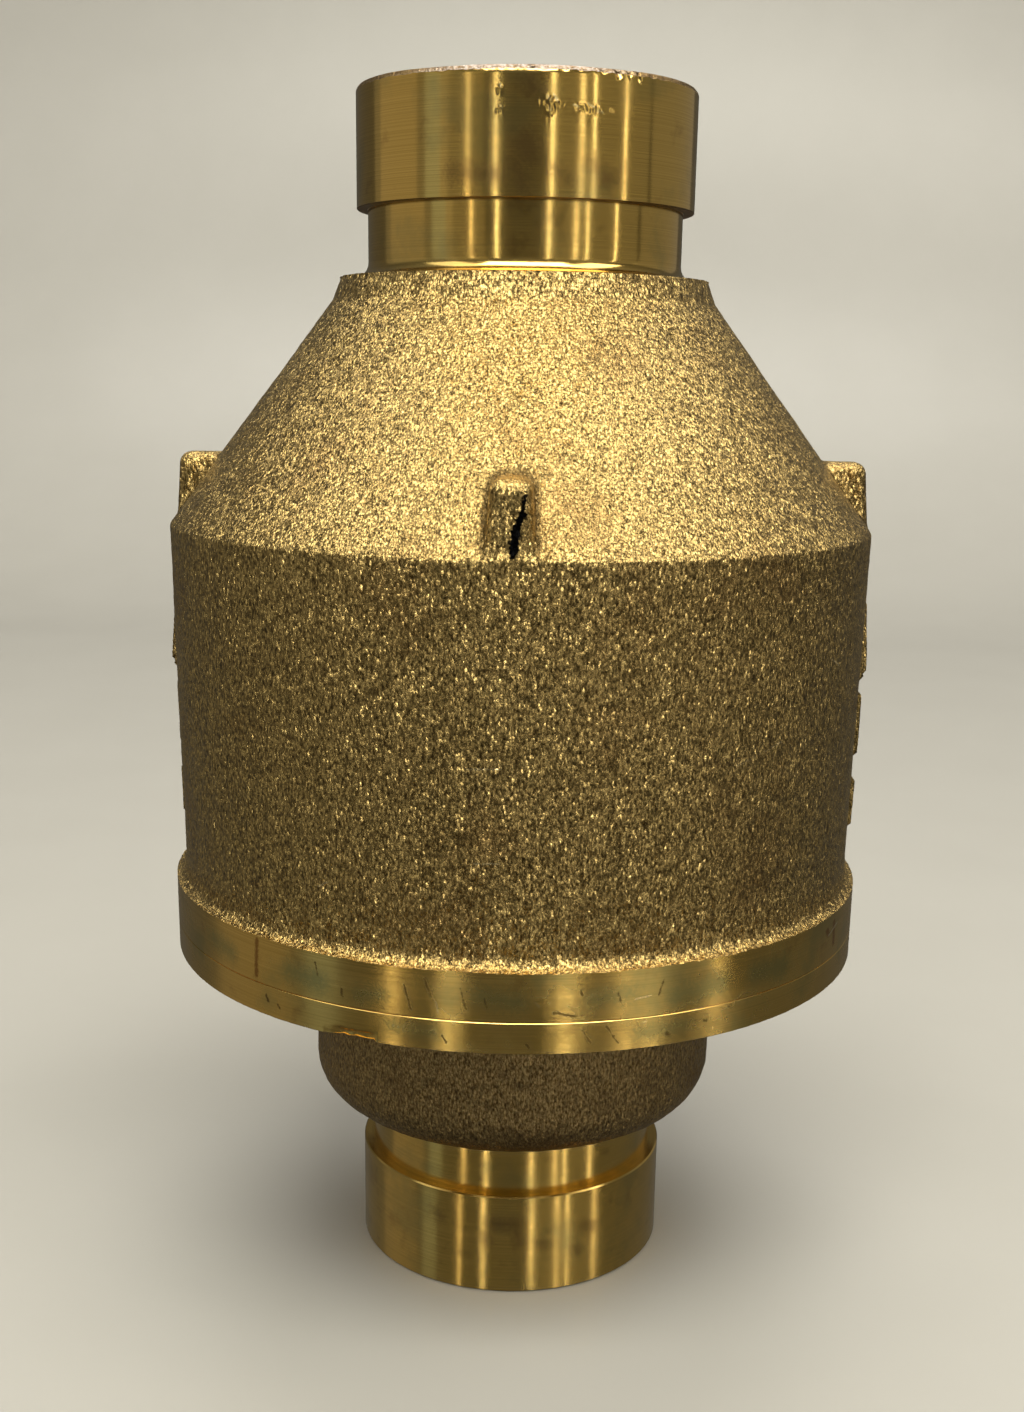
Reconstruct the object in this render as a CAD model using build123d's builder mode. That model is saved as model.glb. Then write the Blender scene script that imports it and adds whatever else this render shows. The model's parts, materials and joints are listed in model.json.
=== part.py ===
from build123d import *
import os
from math import cos, radians, sin

# Axial spring-loaded non-return valve with grooved pipe ends.
# Millimetres. +Z is the flow axis, from the inlet below to the outlet above.
# The origin is the centre of the inlet's end face, on which the valve stands.

# Grooved pipe ends, alike at inlet and outlet
pipe_diameter = 48.3
pipe_wall = 4.15
gasket_seat_length = 16.1
groove_depth = 1.6
inlet_groove_width = 8.0
outlet_groove_width = 9.2
outlet_groove_root_radius = 2.0
outlet_rim_chamfer_width = 0.6
outlet_rim_chamfer_height = 1.2
edge_break = 0.3

# Lower casting: hub, turned plate and screwed spigot
hub_diameter = 63.0
hub_length = 27.7
hub_corner_radius = 7.0
plate_thickness = 4.3
plate_root_radius = 1.2
seam_chamfer = 0.4
spigot_diameter = 92.0
spigot_height = 13.0
spigot_wall = 5.5
spigot_lead_chamfer = 0.6
cover_floor_rise = 2.0
inlet_cone_height = 14.1
guide_ledge_width = 3.0
seat_ledge_width = 3.0
seat_bore_depth = 8.0

# Upper casting: turned band, drafted cylinder, cone and outlet neck
band_height = 6.8
band_edge_break = 0.12
flare_height = 5.3
flare_reach = 1.5
cylinder_foot_wall = 5.0
cylinder_draft = 0.65
shoulder_above_seam = 59.3
shoulder_radius = 0.6
cone_height = 31.6
cone_top_diameter = 55.4
neck_taper_height = 3.2
neck_shoulder_width = 3.9
cone_wall = 8.2
thread_clearance = 0.1
thread_depth = 1.0
thread_relief_height = 0.6
chamber_lead_chamfer = 0.6
guide_ledge_below_shoulder = 9.3
upper_ledge_width = 2.0

# Spanner lugs on the shoulder
lug_count = 4
lug_width = 6.7
lug_length = 13.0
lug_height = 9.8
lug_root_depth = 1.0
lug_inset = 0.15
lug_draft = 4.0
lug_edge_radius = 0.9
lug_root_radius = 1.0

# Raised flow arrow on two opposite sides of the drafted cylinder
mark_relief = 1.0
arrow_below_shoulder = 10.5
arrow_head_height = 10.6
arrow_head_width = 15.0
arrow_bar_width = 6.0
arrow_bar_height = 9.6
arrow_bar_gap = 3.4
arrow_bar_count = 2
arrow_notch = 2.0

# Renewable seat ring
port_diameter = 45.0
seat_wall = 5.5
seat_flange_width = 5.0
seat_flange_height = 4.0
seat_lip_width = 3.5
seat_lip_height = 1.0
seat_lip_edge = 0.5
spanner_notch_count = 4
spanner_notch_width = 5.0
spanner_notch_depth = 2.5

# Sealing rings, drawn as squeezed in their grooves
body_ring_height = 3.2
body_ring_depth = 2.1
body_ring_above_seam = 6.8
seat_ring_groove_height = 2.6
seat_ring_groove_depth = 1.9
seat_ring_groove_below_flange = 2.6
ring_corner_radius = 0.8

# Stem, bushes and guides
stem_diameter = 8.0
stem_below_lower_guide = 8.0
stem_above_upper_guide = 5.0
stem_end_chamfer = 0.8
running_clearance = 0.05
seat_clearance = 0.05
guide_arm_count = 4
lower_guide_height = 6.0
lower_guide_ring_width = 3.0
lower_guide_arm_width = 3.0
lower_arm_step = 0.6
lower_guide_hub_wall = 2.0
lower_guide_hub_height = 12.0
lower_guide_hub_drop = 0.1
lower_bush_wall = 1.5
upper_guide_height = 7.0
upper_guide_ring_width = 5.0
upper_guide_arm_width = 4.0
upper_arm_step = 0.9
upper_guide_hub_wall = 3.0
upper_guide_hub_below = 2.0
upper_guide_hub_rise = 9.9
upper_bush_wall = 2.0
hub_edge_radius = 1.0
retaining_ring_thickness = 1.5
retaining_ring_groove_depth = 1.6
retaining_ring_width = 4.0
retaining_ring_gap = 9.0
retaining_ring_ear_radius = 3.2
retaining_ring_ear_hole = 1.3

# Closing disc and what is clamped to it
lift = 12.0
lift_stop_clearance = 0.3
seal_seat_gap = 0.05
seal_thickness = 3.0
seal_overlap = 2.0
seal_bore_radius = 10.0
disc_rim_width = 1.5
disc_plate_thickness = 4.0
disc_rim_above_seal_face = 0.7
disc_edge_radius = 1.2
disc_hub_flare = 2.8
disc_hub_top_radius = 8.2
disc_hub_height = 7.9
retainer_port_clearance = 0.7
retainer_thickness = 4.0
retainer_edge_chamfer = 1.0
washer_thickness = 1.6
washer_width = 3.2
washer_gap = 1.0
nut_sides = 6
nut_across_flats = 13.0
nut_height = 5.0
nut_corner_chamfer = 0.6
sleeve_step = 0.2
sleeve_recess_clearance = 0.9
sleeve_recess_depth = 1.5
circlip_thickness = 0.9
circlip_reach = 1.4
circlip_groove_depth = 0.6
circlip_gap = 4.0
circlip_ear_radius = 1.3
circlip_ear_hole = 0.5

# Spring and its two seats
spring_wire = 2.2
spring_turns = 6
spring_seat_margin = 1.3
spring_seat_thickness = 1.2
spring_seat_collar_height = 1.2
spring_seat_collar_width = 1.0

# Radii that follow from the sizes above, from the pipe, the spigot, the port and the stem outwards
pipe_radius = pipe_diameter / 2
bore_radius = pipe_radius - pipe_wall
groove_radius = pipe_radius - groove_depth
neck_radius = groove_radius + neck_shoulder_width
hub_radius = hub_diameter / 2

spigot_radius = spigot_diameter / 2
thread_bore_radius = spigot_radius + thread_clearance
chamber_radius = spigot_radius - thread_depth
chamber_top_radius = chamber_radius - upper_ledge_width
cylinder_foot_radius = thread_bore_radius + cylinder_foot_wall
shoulder_edge_radius = cylinder_foot_radius + cylinder_draft
plate_radius = cylinder_foot_radius + flare_reach
cone_top_radius = cone_top_diameter / 2

port_radius = port_diameter / 2
seat_bore_radius = port_radius + seat_wall
seat_flange_radius = seat_bore_radius + seat_flange_width
seat_lip_outer_radius = port_radius + seat_lip_width
guide_seat_radius = seat_bore_radius - seat_ledge_width
guide_ledge_radius = guide_seat_radius - guide_ledge_width
seal_radius = seat_lip_outer_radius + seal_overlap
disc_radius = seal_radius + disc_rim_width
retainer_radius = port_radius - retainer_port_clearance

stem_radius = stem_diameter / 2
lower_bush_radius = stem_radius + lower_bush_wall
lower_guide_hub_radius = lower_bush_radius + lower_guide_hub_wall
upper_bush_radius = stem_radius + upper_bush_wall
upper_guide_hub_radius = upper_bush_radius + upper_guide_hub_wall
circlip_radius = stem_radius + circlip_reach
sleeve_recess_radius = circlip_radius + sleeve_recess_clearance
sleeve_radius = disc_hub_top_radius - sleeve_step
washer_radius = stem_radius + washer_width
disc_hub_base_radius = disc_hub_top_radius + disc_hub_flare
collar_outer_radius = disc_hub_base_radius + seat_clearance + spring_seat_collar_width
spring_mean_radius = collar_outer_radius + seat_clearance + spring_wire / 2
spring_seat_radius = spring_mean_radius + spring_wire / 2 + spring_seat_margin

# Levels that follow from the sizes above
hub_bottom_level = gasket_seat_length + inlet_groove_width
plate_bottom_level = hub_bottom_level + hub_length
seam_level = plate_bottom_level + plate_thickness
cover_floor_level = seam_level + cover_floor_rise
spigot_top_level = seam_level + spigot_height
seat_bore_level = cover_floor_level - seat_bore_depth
guide_seat_level = seat_bore_level - lower_guide_height
inlet_cone_start = guide_seat_level - inlet_cone_height
band_top_level = seam_level + band_height
cylinder_foot_level = band_top_level + flare_height
shoulder_level = seam_level + shoulder_above_seam
arrow_tip_level = shoulder_level - arrow_below_shoulder
cone_top_level = shoulder_level + cone_height
neck_taper_level = cone_top_level + neck_taper_height
outlet_band_level = neck_taper_level + outlet_groove_width
outlet_level = outlet_band_level + gasket_seat_length

cone_slope = (shoulder_edge_radius - cone_top_radius) / cone_height
inner_cone_foot_level = shoulder_level + (
    shoulder_edge_radius - cone_wall - chamber_top_radius
) / cone_slope
inner_cone_top_level = inner_cone_foot_level + (chamber_top_radius - bore_radius) / cone_slope
guide_ledge_level = shoulder_level - guide_ledge_below_shoulder
guide_ring_bottom = guide_ledge_level - upper_guide_height
retaining_groove_bottom = guide_ring_bottom - retaining_ring_thickness - seat_clearance

lower_guide_hub_top = seat_bore_level - lower_guide_hub_drop
lower_guide_hub_bottom = lower_guide_hub_top - lower_guide_hub_height
upper_guide_hub_top = guide_ledge_level + upper_guide_hub_rise
stem_bottom_level = lower_guide_hub_bottom - stem_below_lower_guide
stem_top_level = upper_guide_hub_top + stem_above_upper_guide

seat_flange_top = cover_floor_level + seat_flange_height
seat_lip_level = seat_flange_top + seat_lip_height
seal_bottom = seat_lip_level + seal_seat_gap
seal_top = seal_bottom + seal_thickness
disc_top = seal_top + disc_plate_thickness
disc_hub_top = disc_top + disc_hub_height
retainer_bottom = seal_bottom - retainer_thickness
washer_bottom = retainer_bottom - washer_thickness
nut_bottom = washer_bottom - nut_height
arm_bottom = guide_ring_bottom + upper_arm_step
upper_hub_bottom = arm_bottom - upper_guide_hub_below
sleeve_top = upper_hub_bottom - lift_stop_clearance - lift
circlip_bottom = sleeve_top - sleeve_recess_depth
spring_bottom = disc_top + spring_seat_thickness
spring_top = arm_bottom - spring_seat_thickness

# Fillets in grooves and corners, held to what their walls leave
groove_root_fillet = min(outlet_groove_root_radius, neck_shoulder_width * 0.9)
hub_corner_fillet = min(hub_corner_radius, (hub_radius - groove_radius) * 0.9)


def nearest_corner(half_section, radius, level):
    """The corner of a half section that lies nearest a radius and a level."""
    return half_section.vertices().sort_by_distance((radius, level, 0))[0]


def circlip_face(inner, outer, gap, ear_radius, ear_hole, ear_circle):
    """Flat circlip with an eye beside each end of its gap, which faces +X."""
    ear_spread = gap / 2 + ear_radius
    with BuildSketch() as face:
        Circle(outer)
        Circle(inner, mode=Mode.SUBTRACT)
        with Locations(((inner + outer) / 2, 0)):
            Rectangle(2 * (outer - inner), gap, mode=Mode.SUBTRACT)
        ear_reach = (ear_circle**2 - ear_spread**2) ** 0.5
        with Locations((ear_reach, ear_spread), (ear_reach, -ear_spread)):
            Circle(ear_radius)
            Circle(ear_hole, mode=Mode.SUBTRACT)
    return face.sketch


def bush_face(outer, low, high):
    """Half section of a plain bush for the stem, with its bore's ends broken."""
    inner = stem_radius + running_clearance
    with BuildSketch(Plane.XZ) as face:
        with BuildLine():
            Polyline(
                (inner + edge_break, low),
                (outer, low),
                (outer, high),
                (inner + edge_break, high),
                (inner, high - edge_break),
                (inner, low + edge_break),
                close=True,
            )
        make_face()
    return face.sketch


def guide_arm_plane(angle, level, start_radius):
    """Plane across one guide arm, with its normal pointing outwards."""
    outwards = (cos(radians(angle)), sin(radians(angle)), 0)
    across = (-sin(radians(angle)), cos(radians(angle)), 0)
    centre = (outwards[0] * start_radius, outwards[1] * start_radius, level)
    return Plane(origin=centre, x_dir=across, z_dir=outwards)


# Upper casting

with BuildPart() as spanner_lugs:
    with BuildSketch(Plane.XY.offset(shoulder_level - lug_root_depth)):
        lug_centre = shoulder_edge_radius - lug_inset - lug_length / 2
        with PolarLocations(lug_centre, lug_count):
            Rectangle(lug_length, lug_width)
    extrude(amount=lug_height + lug_root_depth, taper=lug_draft)
    lug_uprights = spanner_lugs.edges().filter_by(
        lambda edge: edge.bounding_box().size.Z > lug_height / 2
    )
    fillet(lug_uprights, lug_edge_radius)
    fillet(spanner_lugs.faces().group_by(Axis.Z)[-1].edges(), lug_edge_radius * 0.8)

with BuildPart() as flow_marks:
    with BuildSketch(Plane.YZ.offset(chamber_radius)):
        head_base = arrow_tip_level - arrow_head_height
        with BuildLine():
            Polyline(
                (0, arrow_tip_level),
                (arrow_head_width / 2, head_base),
                (0, head_base + arrow_notch),
                (-arrow_head_width / 2, head_base),
                close=True,
            )
        make_face()
        bar_pitch = arrow_bar_height + arrow_bar_gap
        for bar in range(arrow_bar_count):
            with Locations((0, head_base - arrow_bar_gap - arrow_bar_height / 2 - bar * bar_pitch)):
                Rectangle(arrow_bar_width, arrow_bar_height)
    extrude(amount=plate_radius)
    mirror(about=Plane.YZ)
    with BuildSketch(Plane.XZ):
        with BuildLine():
            Polyline(
                (0, cylinder_foot_level),
                (cylinder_foot_radius + mark_relief, cylinder_foot_level),
                (shoulder_edge_radius + mark_relief, shoulder_level),
                (0, shoulder_level),
                close=True,
            )
        make_face()
    revolve(mode=Mode.INTERSECT)

with BuildPart() as body:
    with BuildSketch(Plane.XZ) as body_outline:
        with BuildLine():
            band = Polyline(
                (0, seam_level),
                (plate_radius - band_edge_break, seam_level),
                (plate_radius, seam_level + band_edge_break),
                (plate_radius, band_top_level),
            )
            flare = TangentArc(
                (cylinder_foot_radius, cylinder_foot_level),
                band @ 1,
                tangent=(0.02, -1),
            )
            Polyline(
                flare @ 0,
                (shoulder_edge_radius, shoulder_level),
                (cone_top_radius, cone_top_level),
                (neck_radius, neck_taper_level),
                (groove_radius, neck_taper_level),
                (groove_radius, outlet_band_level),
                (pipe_radius, outlet_band_level),
                (pipe_radius, outlet_level - outlet_rim_chamfer_height),
                (pipe_radius - outlet_rim_chamfer_width, outlet_level),
                (0, outlet_level),
                (0, seam_level),
            )
        make_face()
        fillet(nearest_corner(body_outline, groove_radius, neck_taper_level), groove_root_fillet)
        fillet(nearest_corner(body_outline, shoulder_edge_radius, shoulder_level), shoulder_radius)
    revolve()
    turned_shape = body.part
    add(spanner_lugs.part)
    fillet(new_edges(turned_shape, spanner_lugs.part, combined=body.part), lug_root_radius)
    add(flow_marks.part)
    with BuildSketch(Plane.XZ):
        with BuildLine():
            Polyline(
                (0, seam_level),
                (thread_bore_radius, seam_level),
                (thread_bore_radius, spigot_top_level + thread_relief_height),
                (chamber_radius, spigot_top_level + thread_relief_height + chamber_lead_chamfer),
                (chamber_radius, retaining_groove_bottom),
                (chamber_radius + retaining_ring_groove_depth, retaining_groove_bottom),
                (chamber_radius + retaining_ring_groove_depth, guide_ring_bottom),
                (chamber_radius, guide_ring_bottom),
                (chamber_radius, guide_ledge_level),
                (chamber_top_radius, guide_ledge_level),
                (chamber_top_radius, inner_cone_foot_level),
                (bore_radius, inner_cone_top_level),
                (bore_radius, outlet_level - edge_break),
                (bore_radius + edge_break, outlet_level),
                (0, outlet_level),
                close=True,
            )
        make_face()
    revolve(mode=Mode.SUBTRACT)
body.part.label = "body"

# Lower casting

with BuildPart() as inlet_end:
    with BuildSketch(Plane.XZ) as inlet_outline:
        with BuildLine():
            Polyline(
                (0, 0),
                (pipe_radius - edge_break, 0),
                (pipe_radius, edge_break),
                (pipe_radius, gasket_seat_length),
                (groove_radius, gasket_seat_length),
                (groove_radius, hub_bottom_level),
                (hub_radius, hub_bottom_level),
                (hub_radius, plate_bottom_level),
                (plate_radius - seam_chamfer, plate_bottom_level),
                (plate_radius, plate_bottom_level + seam_chamfer),
                (plate_radius, seam_level - seam_chamfer),
                (plate_radius - seam_chamfer, seam_level),
                (spigot_radius, seam_level),
                (spigot_radius, seam_level + body_ring_above_seam),
                (spigot_radius - body_ring_depth, seam_level + body_ring_above_seam),
                (
                    spigot_radius - body_ring_depth,
                    seam_level + body_ring_above_seam + body_ring_height,
                ),
                (spigot_radius, seam_level + body_ring_above_seam + body_ring_height),
                (spigot_radius, spigot_top_level - spigot_lead_chamfer),
                (spigot_radius - spigot_lead_chamfer, spigot_top_level),
                (0, spigot_top_level),
                close=True,
            )
        make_face()
        fillet(nearest_corner(inlet_outline, hub_radius, hub_bottom_level), hub_corner_fillet)
        fillet(nearest_corner(inlet_outline, hub_radius, plate_bottom_level), plate_root_radius)
    revolve()
    with BuildSketch(Plane.XZ):
        with BuildLine():
            Polyline(
                (0, 0),
                (bore_radius + edge_break, 0),
                (bore_radius, edge_break),
                (bore_radius, inlet_cone_start),
                (guide_ledge_radius, guide_seat_level),
                (guide_seat_radius, guide_seat_level),
                (guide_seat_radius, seat_bore_level),
                (seat_bore_radius, seat_bore_level),
                (seat_bore_radius, cover_floor_level),
                (spigot_radius - spigot_wall, cover_floor_level),
                (spigot_radius - spigot_wall, spigot_top_level),
                (0, spigot_top_level),
                close=True,
            )
        make_face()
    revolve(mode=Mode.SUBTRACT)
inlet_end.part.label = "inlet_end"

# Sealing rings

with BuildPart() as body_o_ring:
    ring_width = body_ring_depth + thread_clearance - 2 * seat_clearance
    with BuildSketch(Plane.XZ):
        with Locations(
            (
                spigot_radius - body_ring_depth + seat_clearance + ring_width / 2,
                seam_level + body_ring_above_seam + body_ring_height / 2,
            )
        ):
            RectangleRounded(
                ring_width, body_ring_height - 2 * seat_clearance, ring_corner_radius
            )
    revolve()
body_o_ring.part.label = "body_o_ring"

with BuildPart() as seat_o_ring:
    ring_width = seat_ring_groove_depth - seat_clearance
    with BuildSketch(Plane.XZ):
        with Locations(
            (
                seat_bore_radius - seat_clearance - ring_width / 2,
                cover_floor_level - seat_ring_groove_below_flange - seat_ring_groove_height / 2,
            )
        ):
            RectangleRounded(
                ring_width, seat_ring_groove_height - 2 * seat_clearance, ring_corner_radius
            )
    revolve()
seat_o_ring.part.label = "seat_o_ring"

# Seat ring, screwed into the lower casting

with BuildPart() as seat_ring:
    seat_thread_radius = seat_bore_radius - seat_clearance
    groove_top = cover_floor_level - seat_ring_groove_below_flange
    with BuildSketch(Plane.XZ):
        with BuildLine():
            Polyline(
                (port_radius, seat_bore_level + seat_clearance),
                (seat_thread_radius, seat_bore_level + seat_clearance),
                (seat_thread_radius, groove_top - seat_ring_groove_height),
                (seat_thread_radius - seat_ring_groove_depth, groove_top - seat_ring_groove_height),
                (seat_thread_radius - seat_ring_groove_depth, groove_top),
                (seat_thread_radius, groove_top),
                (seat_thread_radius, cover_floor_level),
                (seat_flange_radius, cover_floor_level),
                (seat_flange_radius, seat_flange_top - edge_break),
                (seat_flange_radius - edge_break, seat_flange_top),
                (seat_lip_outer_radius, seat_flange_top),
                (seat_lip_outer_radius - seat_lip_edge, seat_lip_level),
                (port_radius + seat_lip_edge, seat_lip_level),
                (port_radius, seat_lip_level - seat_lip_edge),
                close=True,
            )
        make_face()
    revolve()
    with BuildSketch(Plane.XY.offset(cover_floor_level)):
        with PolarLocations(seat_flange_radius, spanner_notch_count):
            Rectangle(2 * spanner_notch_depth, spanner_notch_width)
    extrude(amount=seat_flange_height, mode=Mode.SUBTRACT)
seat_ring.part.label = "seat_ring"

# Lower guide, trapped between its ledge and the seat ring

guide_arm_angles = [360 / guide_arm_count * (turn + 0.5) for turn in range(guide_arm_count)]

with BuildPart() as lower_guide:
    lower_ring_radius = guide_seat_radius - seat_clearance
    lower_ring_bore = lower_ring_radius - lower_guide_ring_width
    with BuildSketch(Plane.XY.offset(guide_seat_level)):
        Circle(lower_ring_radius)
        Circle(lower_ring_bore, mode=Mode.SUBTRACT)
    extrude(amount=seat_bore_level - guide_seat_level)
    with BuildSketch(Plane.XY.offset(lower_guide_hub_bottom)):
        Circle(lower_guide_hub_radius)
    extrude(amount=lower_guide_hub_top - lower_guide_hub_bottom)
    fillet(
        lower_guide.edges().filter_by(GeomType.CIRCLE).filter_by(
            lambda edge: abs(edge.radius - lower_guide_hub_radius) < edge_break
        ),
        hub_edge_radius,
    )
    lower_arm_length = (lower_ring_radius + lower_ring_bore) / 2 - lower_bush_radius
    lower_arm_height = lower_guide_height - 2 * lower_arm_step
    for angle in guide_arm_angles:
        arm_level = guide_seat_level + lower_guide_height / 2
        with BuildSketch(guide_arm_plane(angle, arm_level, lower_bush_radius)):
            SlotOverall(lower_arm_height, lower_guide_arm_width, rotation=90)
        extrude(amount=lower_arm_length)
    with BuildSketch(Plane.XY.offset(lower_guide_hub_bottom)):
        Circle(lower_bush_radius)
    extrude(amount=lower_guide_hub_top - lower_guide_hub_bottom, mode=Mode.SUBTRACT)
lower_guide.part.label = "lower_guide"

with BuildPart() as lower_guide_bush:
    add(bush_face(lower_bush_radius, lower_guide_hub_bottom, lower_guide_hub_top))
    revolve()
lower_guide_bush.part.label = "lower_guide_bush"

# Upper guide, against its ledge in the upper casting

with BuildPart() as upper_guide:
    upper_ring_radius = chamber_radius - seat_clearance
    upper_ring_bore = upper_ring_radius - upper_guide_ring_width
    with BuildSketch(Plane.XY.offset(guide_ring_bottom)):
        Circle(upper_ring_radius)
        Circle(upper_ring_bore, mode=Mode.SUBTRACT)
    extrude(amount=upper_guide_height)
    with BuildSketch(Plane.XY.offset(upper_hub_bottom)):
        Circle(upper_guide_hub_radius)
    extrude(amount=upper_guide_hub_top - upper_hub_bottom)
    fillet(
        upper_guide.edges().filter_by(GeomType.CIRCLE).group_by(Axis.Z)[-1],
        hub_edge_radius,
    )
    upper_arm_length = (upper_ring_radius + upper_ring_bore) / 2 - upper_bush_radius
    upper_arm_height = upper_guide_height - 2 * upper_arm_step
    for angle in guide_arm_angles:
        arm_level = arm_bottom + upper_arm_height / 2
        with BuildSketch(guide_arm_plane(angle, arm_level, upper_bush_radius)):
            SlotOverall(upper_arm_height, upper_guide_arm_width, rotation=90)
        extrude(amount=upper_arm_length)
    with BuildSketch(Plane.XY.offset(upper_hub_bottom)):
        Circle(upper_bush_radius)
    extrude(amount=upper_guide_hub_top - upper_hub_bottom, mode=Mode.SUBTRACT)
upper_guide.part.label = "upper_guide"

with BuildPart() as upper_guide_bush:
    add(bush_face(upper_bush_radius, upper_hub_bottom, upper_guide_hub_top))
    revolve()
upper_guide_bush.part.label = "upper_guide_bush"

with BuildPart() as guide_retaining_ring:
    ring_outer = chamber_radius + retaining_ring_groove_depth - seat_clearance
    ring_inner = ring_outer - retaining_ring_width
    with BuildSketch(Plane.XY.offset(retaining_groove_bottom)):
        add(
            circlip_face(
                ring_inner,
                ring_outer,
                retaining_ring_gap,
                retaining_ring_ear_radius,
                retaining_ring_ear_hole,
                ring_inner - retaining_ring_ear_radius / 2,
            ),
            rotation=guide_arm_angles[0],
        )
    extrude(amount=retaining_ring_thickness)
guide_retaining_ring.part.label = "guide_retaining_ring"

# Stem

with BuildPart() as stem:
    with BuildSketch(Plane.XZ):
        with BuildLine():
            Polyline(
                (0, stem_bottom_level),
                (stem_radius - stem_end_chamfer, stem_bottom_level),
                (stem_radius, stem_bottom_level + stem_end_chamfer),
                (stem_radius, circlip_bottom - seat_clearance),
                (stem_radius - circlip_groove_depth, circlip_bottom - seat_clearance),
                (
                    stem_radius - circlip_groove_depth,
                    circlip_bottom + circlip_thickness + seat_clearance,
                ),
                (stem_radius, circlip_bottom + circlip_thickness + seat_clearance),
                (stem_radius, stem_top_level - stem_end_chamfer),
                (stem_radius - stem_end_chamfer, stem_top_level),
                (0, stem_top_level),
                close=True,
            )
        make_face()
    revolve()
stem.part.label = "stem"

stem_hole_radius = stem_radius + seat_clearance

# Disc stack, clamped between the nut below and the sleeve's circlip above

with BuildPart() as disc:
    rim_bottom = seal_bottom + disc_rim_above_seal_face
    with BuildSketch(Plane.XZ) as disc_outline:
        with BuildLine():
            Polyline(
                (stem_hole_radius, seal_top),
                (seal_radius + seat_clearance, seal_top),
                (seal_radius + seat_clearance, rim_bottom),
                (disc_radius, rim_bottom),
                (disc_radius, disc_top),
                (disc_hub_base_radius, disc_top),
                (disc_hub_top_radius, disc_hub_top),
                (stem_hole_radius, disc_hub_top),
                close=True,
            )
        make_face()
        fillet(nearest_corner(disc_outline, disc_radius, disc_top), disc_edge_radius)
    revolve()
disc.part.label = "disc"

with BuildPart() as disc_seal:
    with BuildSketch(Plane.XY.offset(seal_bottom)):
        Circle(seal_radius)
        Circle(seal_bore_radius + seat_clearance, mode=Mode.SUBTRACT)
    extrude(amount=seal_thickness)
disc_seal.part.label = "disc_seal"

with BuildPart() as seal_retainer:
    with BuildSketch(Plane.XZ):
        with BuildLine():
            Polyline(
                (stem_hole_radius, retainer_bottom),
                (retainer_radius - retainer_edge_chamfer, retainer_bottom),
                (retainer_radius, retainer_bottom + retainer_edge_chamfer),
                (retainer_radius, seal_bottom),
                (seal_bore_radius, seal_bottom),
                (seal_bore_radius, seal_top),
                (stem_hole_radius, seal_top),
                close=True,
            )
        make_face()
    revolve()
seal_retainer.part.label = "seal_retainer"

with BuildPart() as lock_washer:
    with BuildSketch(Plane.XY.offset(washer_bottom)):
        Circle(washer_radius)
        Circle(stem_hole_radius, mode=Mode.SUBTRACT)
        with Locations((washer_radius / 2, 0)):
            Rectangle(washer_radius, washer_gap, mode=Mode.SUBTRACT)
    extrude(amount=washer_thickness)
lock_washer.part.label = "lock_washer"

with BuildPart() as stem_nut:
    with BuildSketch(Plane.XY.offset(nut_bottom)):
        RegularPolygon(nut_across_flats / 2, nut_sides, major_radius=False)
    extrude(amount=nut_height)
    nut_corner_radius = nut_across_flats / 2 / cos(radians(180 / nut_sides))
    with BuildSketch(Plane.XZ):
        with BuildLine():
            Polyline(
                (stem_hole_radius, nut_bottom),
                (nut_corner_radius - nut_corner_chamfer, nut_bottom),
                (nut_corner_radius, nut_bottom + nut_corner_chamfer / 2),
                (nut_corner_radius, washer_bottom - nut_corner_chamfer / 2),
                (nut_corner_radius - nut_corner_chamfer, washer_bottom),
                (stem_hole_radius, washer_bottom),
                close=True,
            )
        make_face()
    revolve(mode=Mode.INTERSECT)
stem_nut.part.label = "stem_nut"

with BuildPart() as stop_sleeve:
    with BuildSketch(Plane.XZ):
        with BuildLine():
            Polyline(
                (stem_hole_radius, disc_hub_top),
                (sleeve_radius, disc_hub_top),
                (sleeve_radius, sleeve_top - edge_break),
                (sleeve_radius - edge_break, sleeve_top),
                (sleeve_recess_radius, sleeve_top),
                (sleeve_recess_radius, circlip_bottom),
                (stem_hole_radius, circlip_bottom),
                close=True,
            )
        make_face()
    revolve()
stop_sleeve.part.label = "stop_sleeve"

with BuildPart() as stem_circlip:
    clip_inner = stem_radius - circlip_groove_depth + seat_clearance
    with BuildSketch(Plane.XY.offset(circlip_bottom)):
        add(
            circlip_face(
                clip_inner,
                circlip_radius,
                circlip_gap,
                circlip_ear_radius / 2,
                circlip_ear_hole / 2,
                circlip_radius,
            )
        )
    extrude(amount=circlip_thickness)
stem_circlip.part.label = "stem_circlip"

# Spring and its seats

with BuildPart() as lower_spring_seat:
    with BuildSketch(Plane.XZ):
        with BuildLine():
            Polyline(
                (disc_hub_base_radius + seat_clearance, disc_top),
                (spring_seat_radius, disc_top),
                (spring_seat_radius, spring_bottom),
                (collar_outer_radius, spring_bottom),
                (collar_outer_radius, spring_bottom + spring_seat_collar_height),
                (disc_hub_base_radius + seat_clearance, spring_bottom + spring_seat_collar_height),
                close=True,
            )
        make_face()
    revolve()
lower_spring_seat.part.label = "lower_spring_seat"

with BuildPart() as upper_spring_seat:
    with BuildSketch(Plane.XZ):
        with BuildLine():
            Polyline(
                (upper_guide_hub_radius + seat_clearance, arm_bottom),
                (spring_seat_radius, arm_bottom),
                (spring_seat_radius, spring_top),
                (collar_outer_radius, spring_top),
                (collar_outer_radius, spring_top - spring_seat_collar_height),
                (upper_guide_hub_radius + seat_clearance, spring_top - spring_seat_collar_height),
                close=True,
            )
        make_face()
    revolve()
upper_spring_seat.part.label = "upper_spring_seat"

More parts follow.
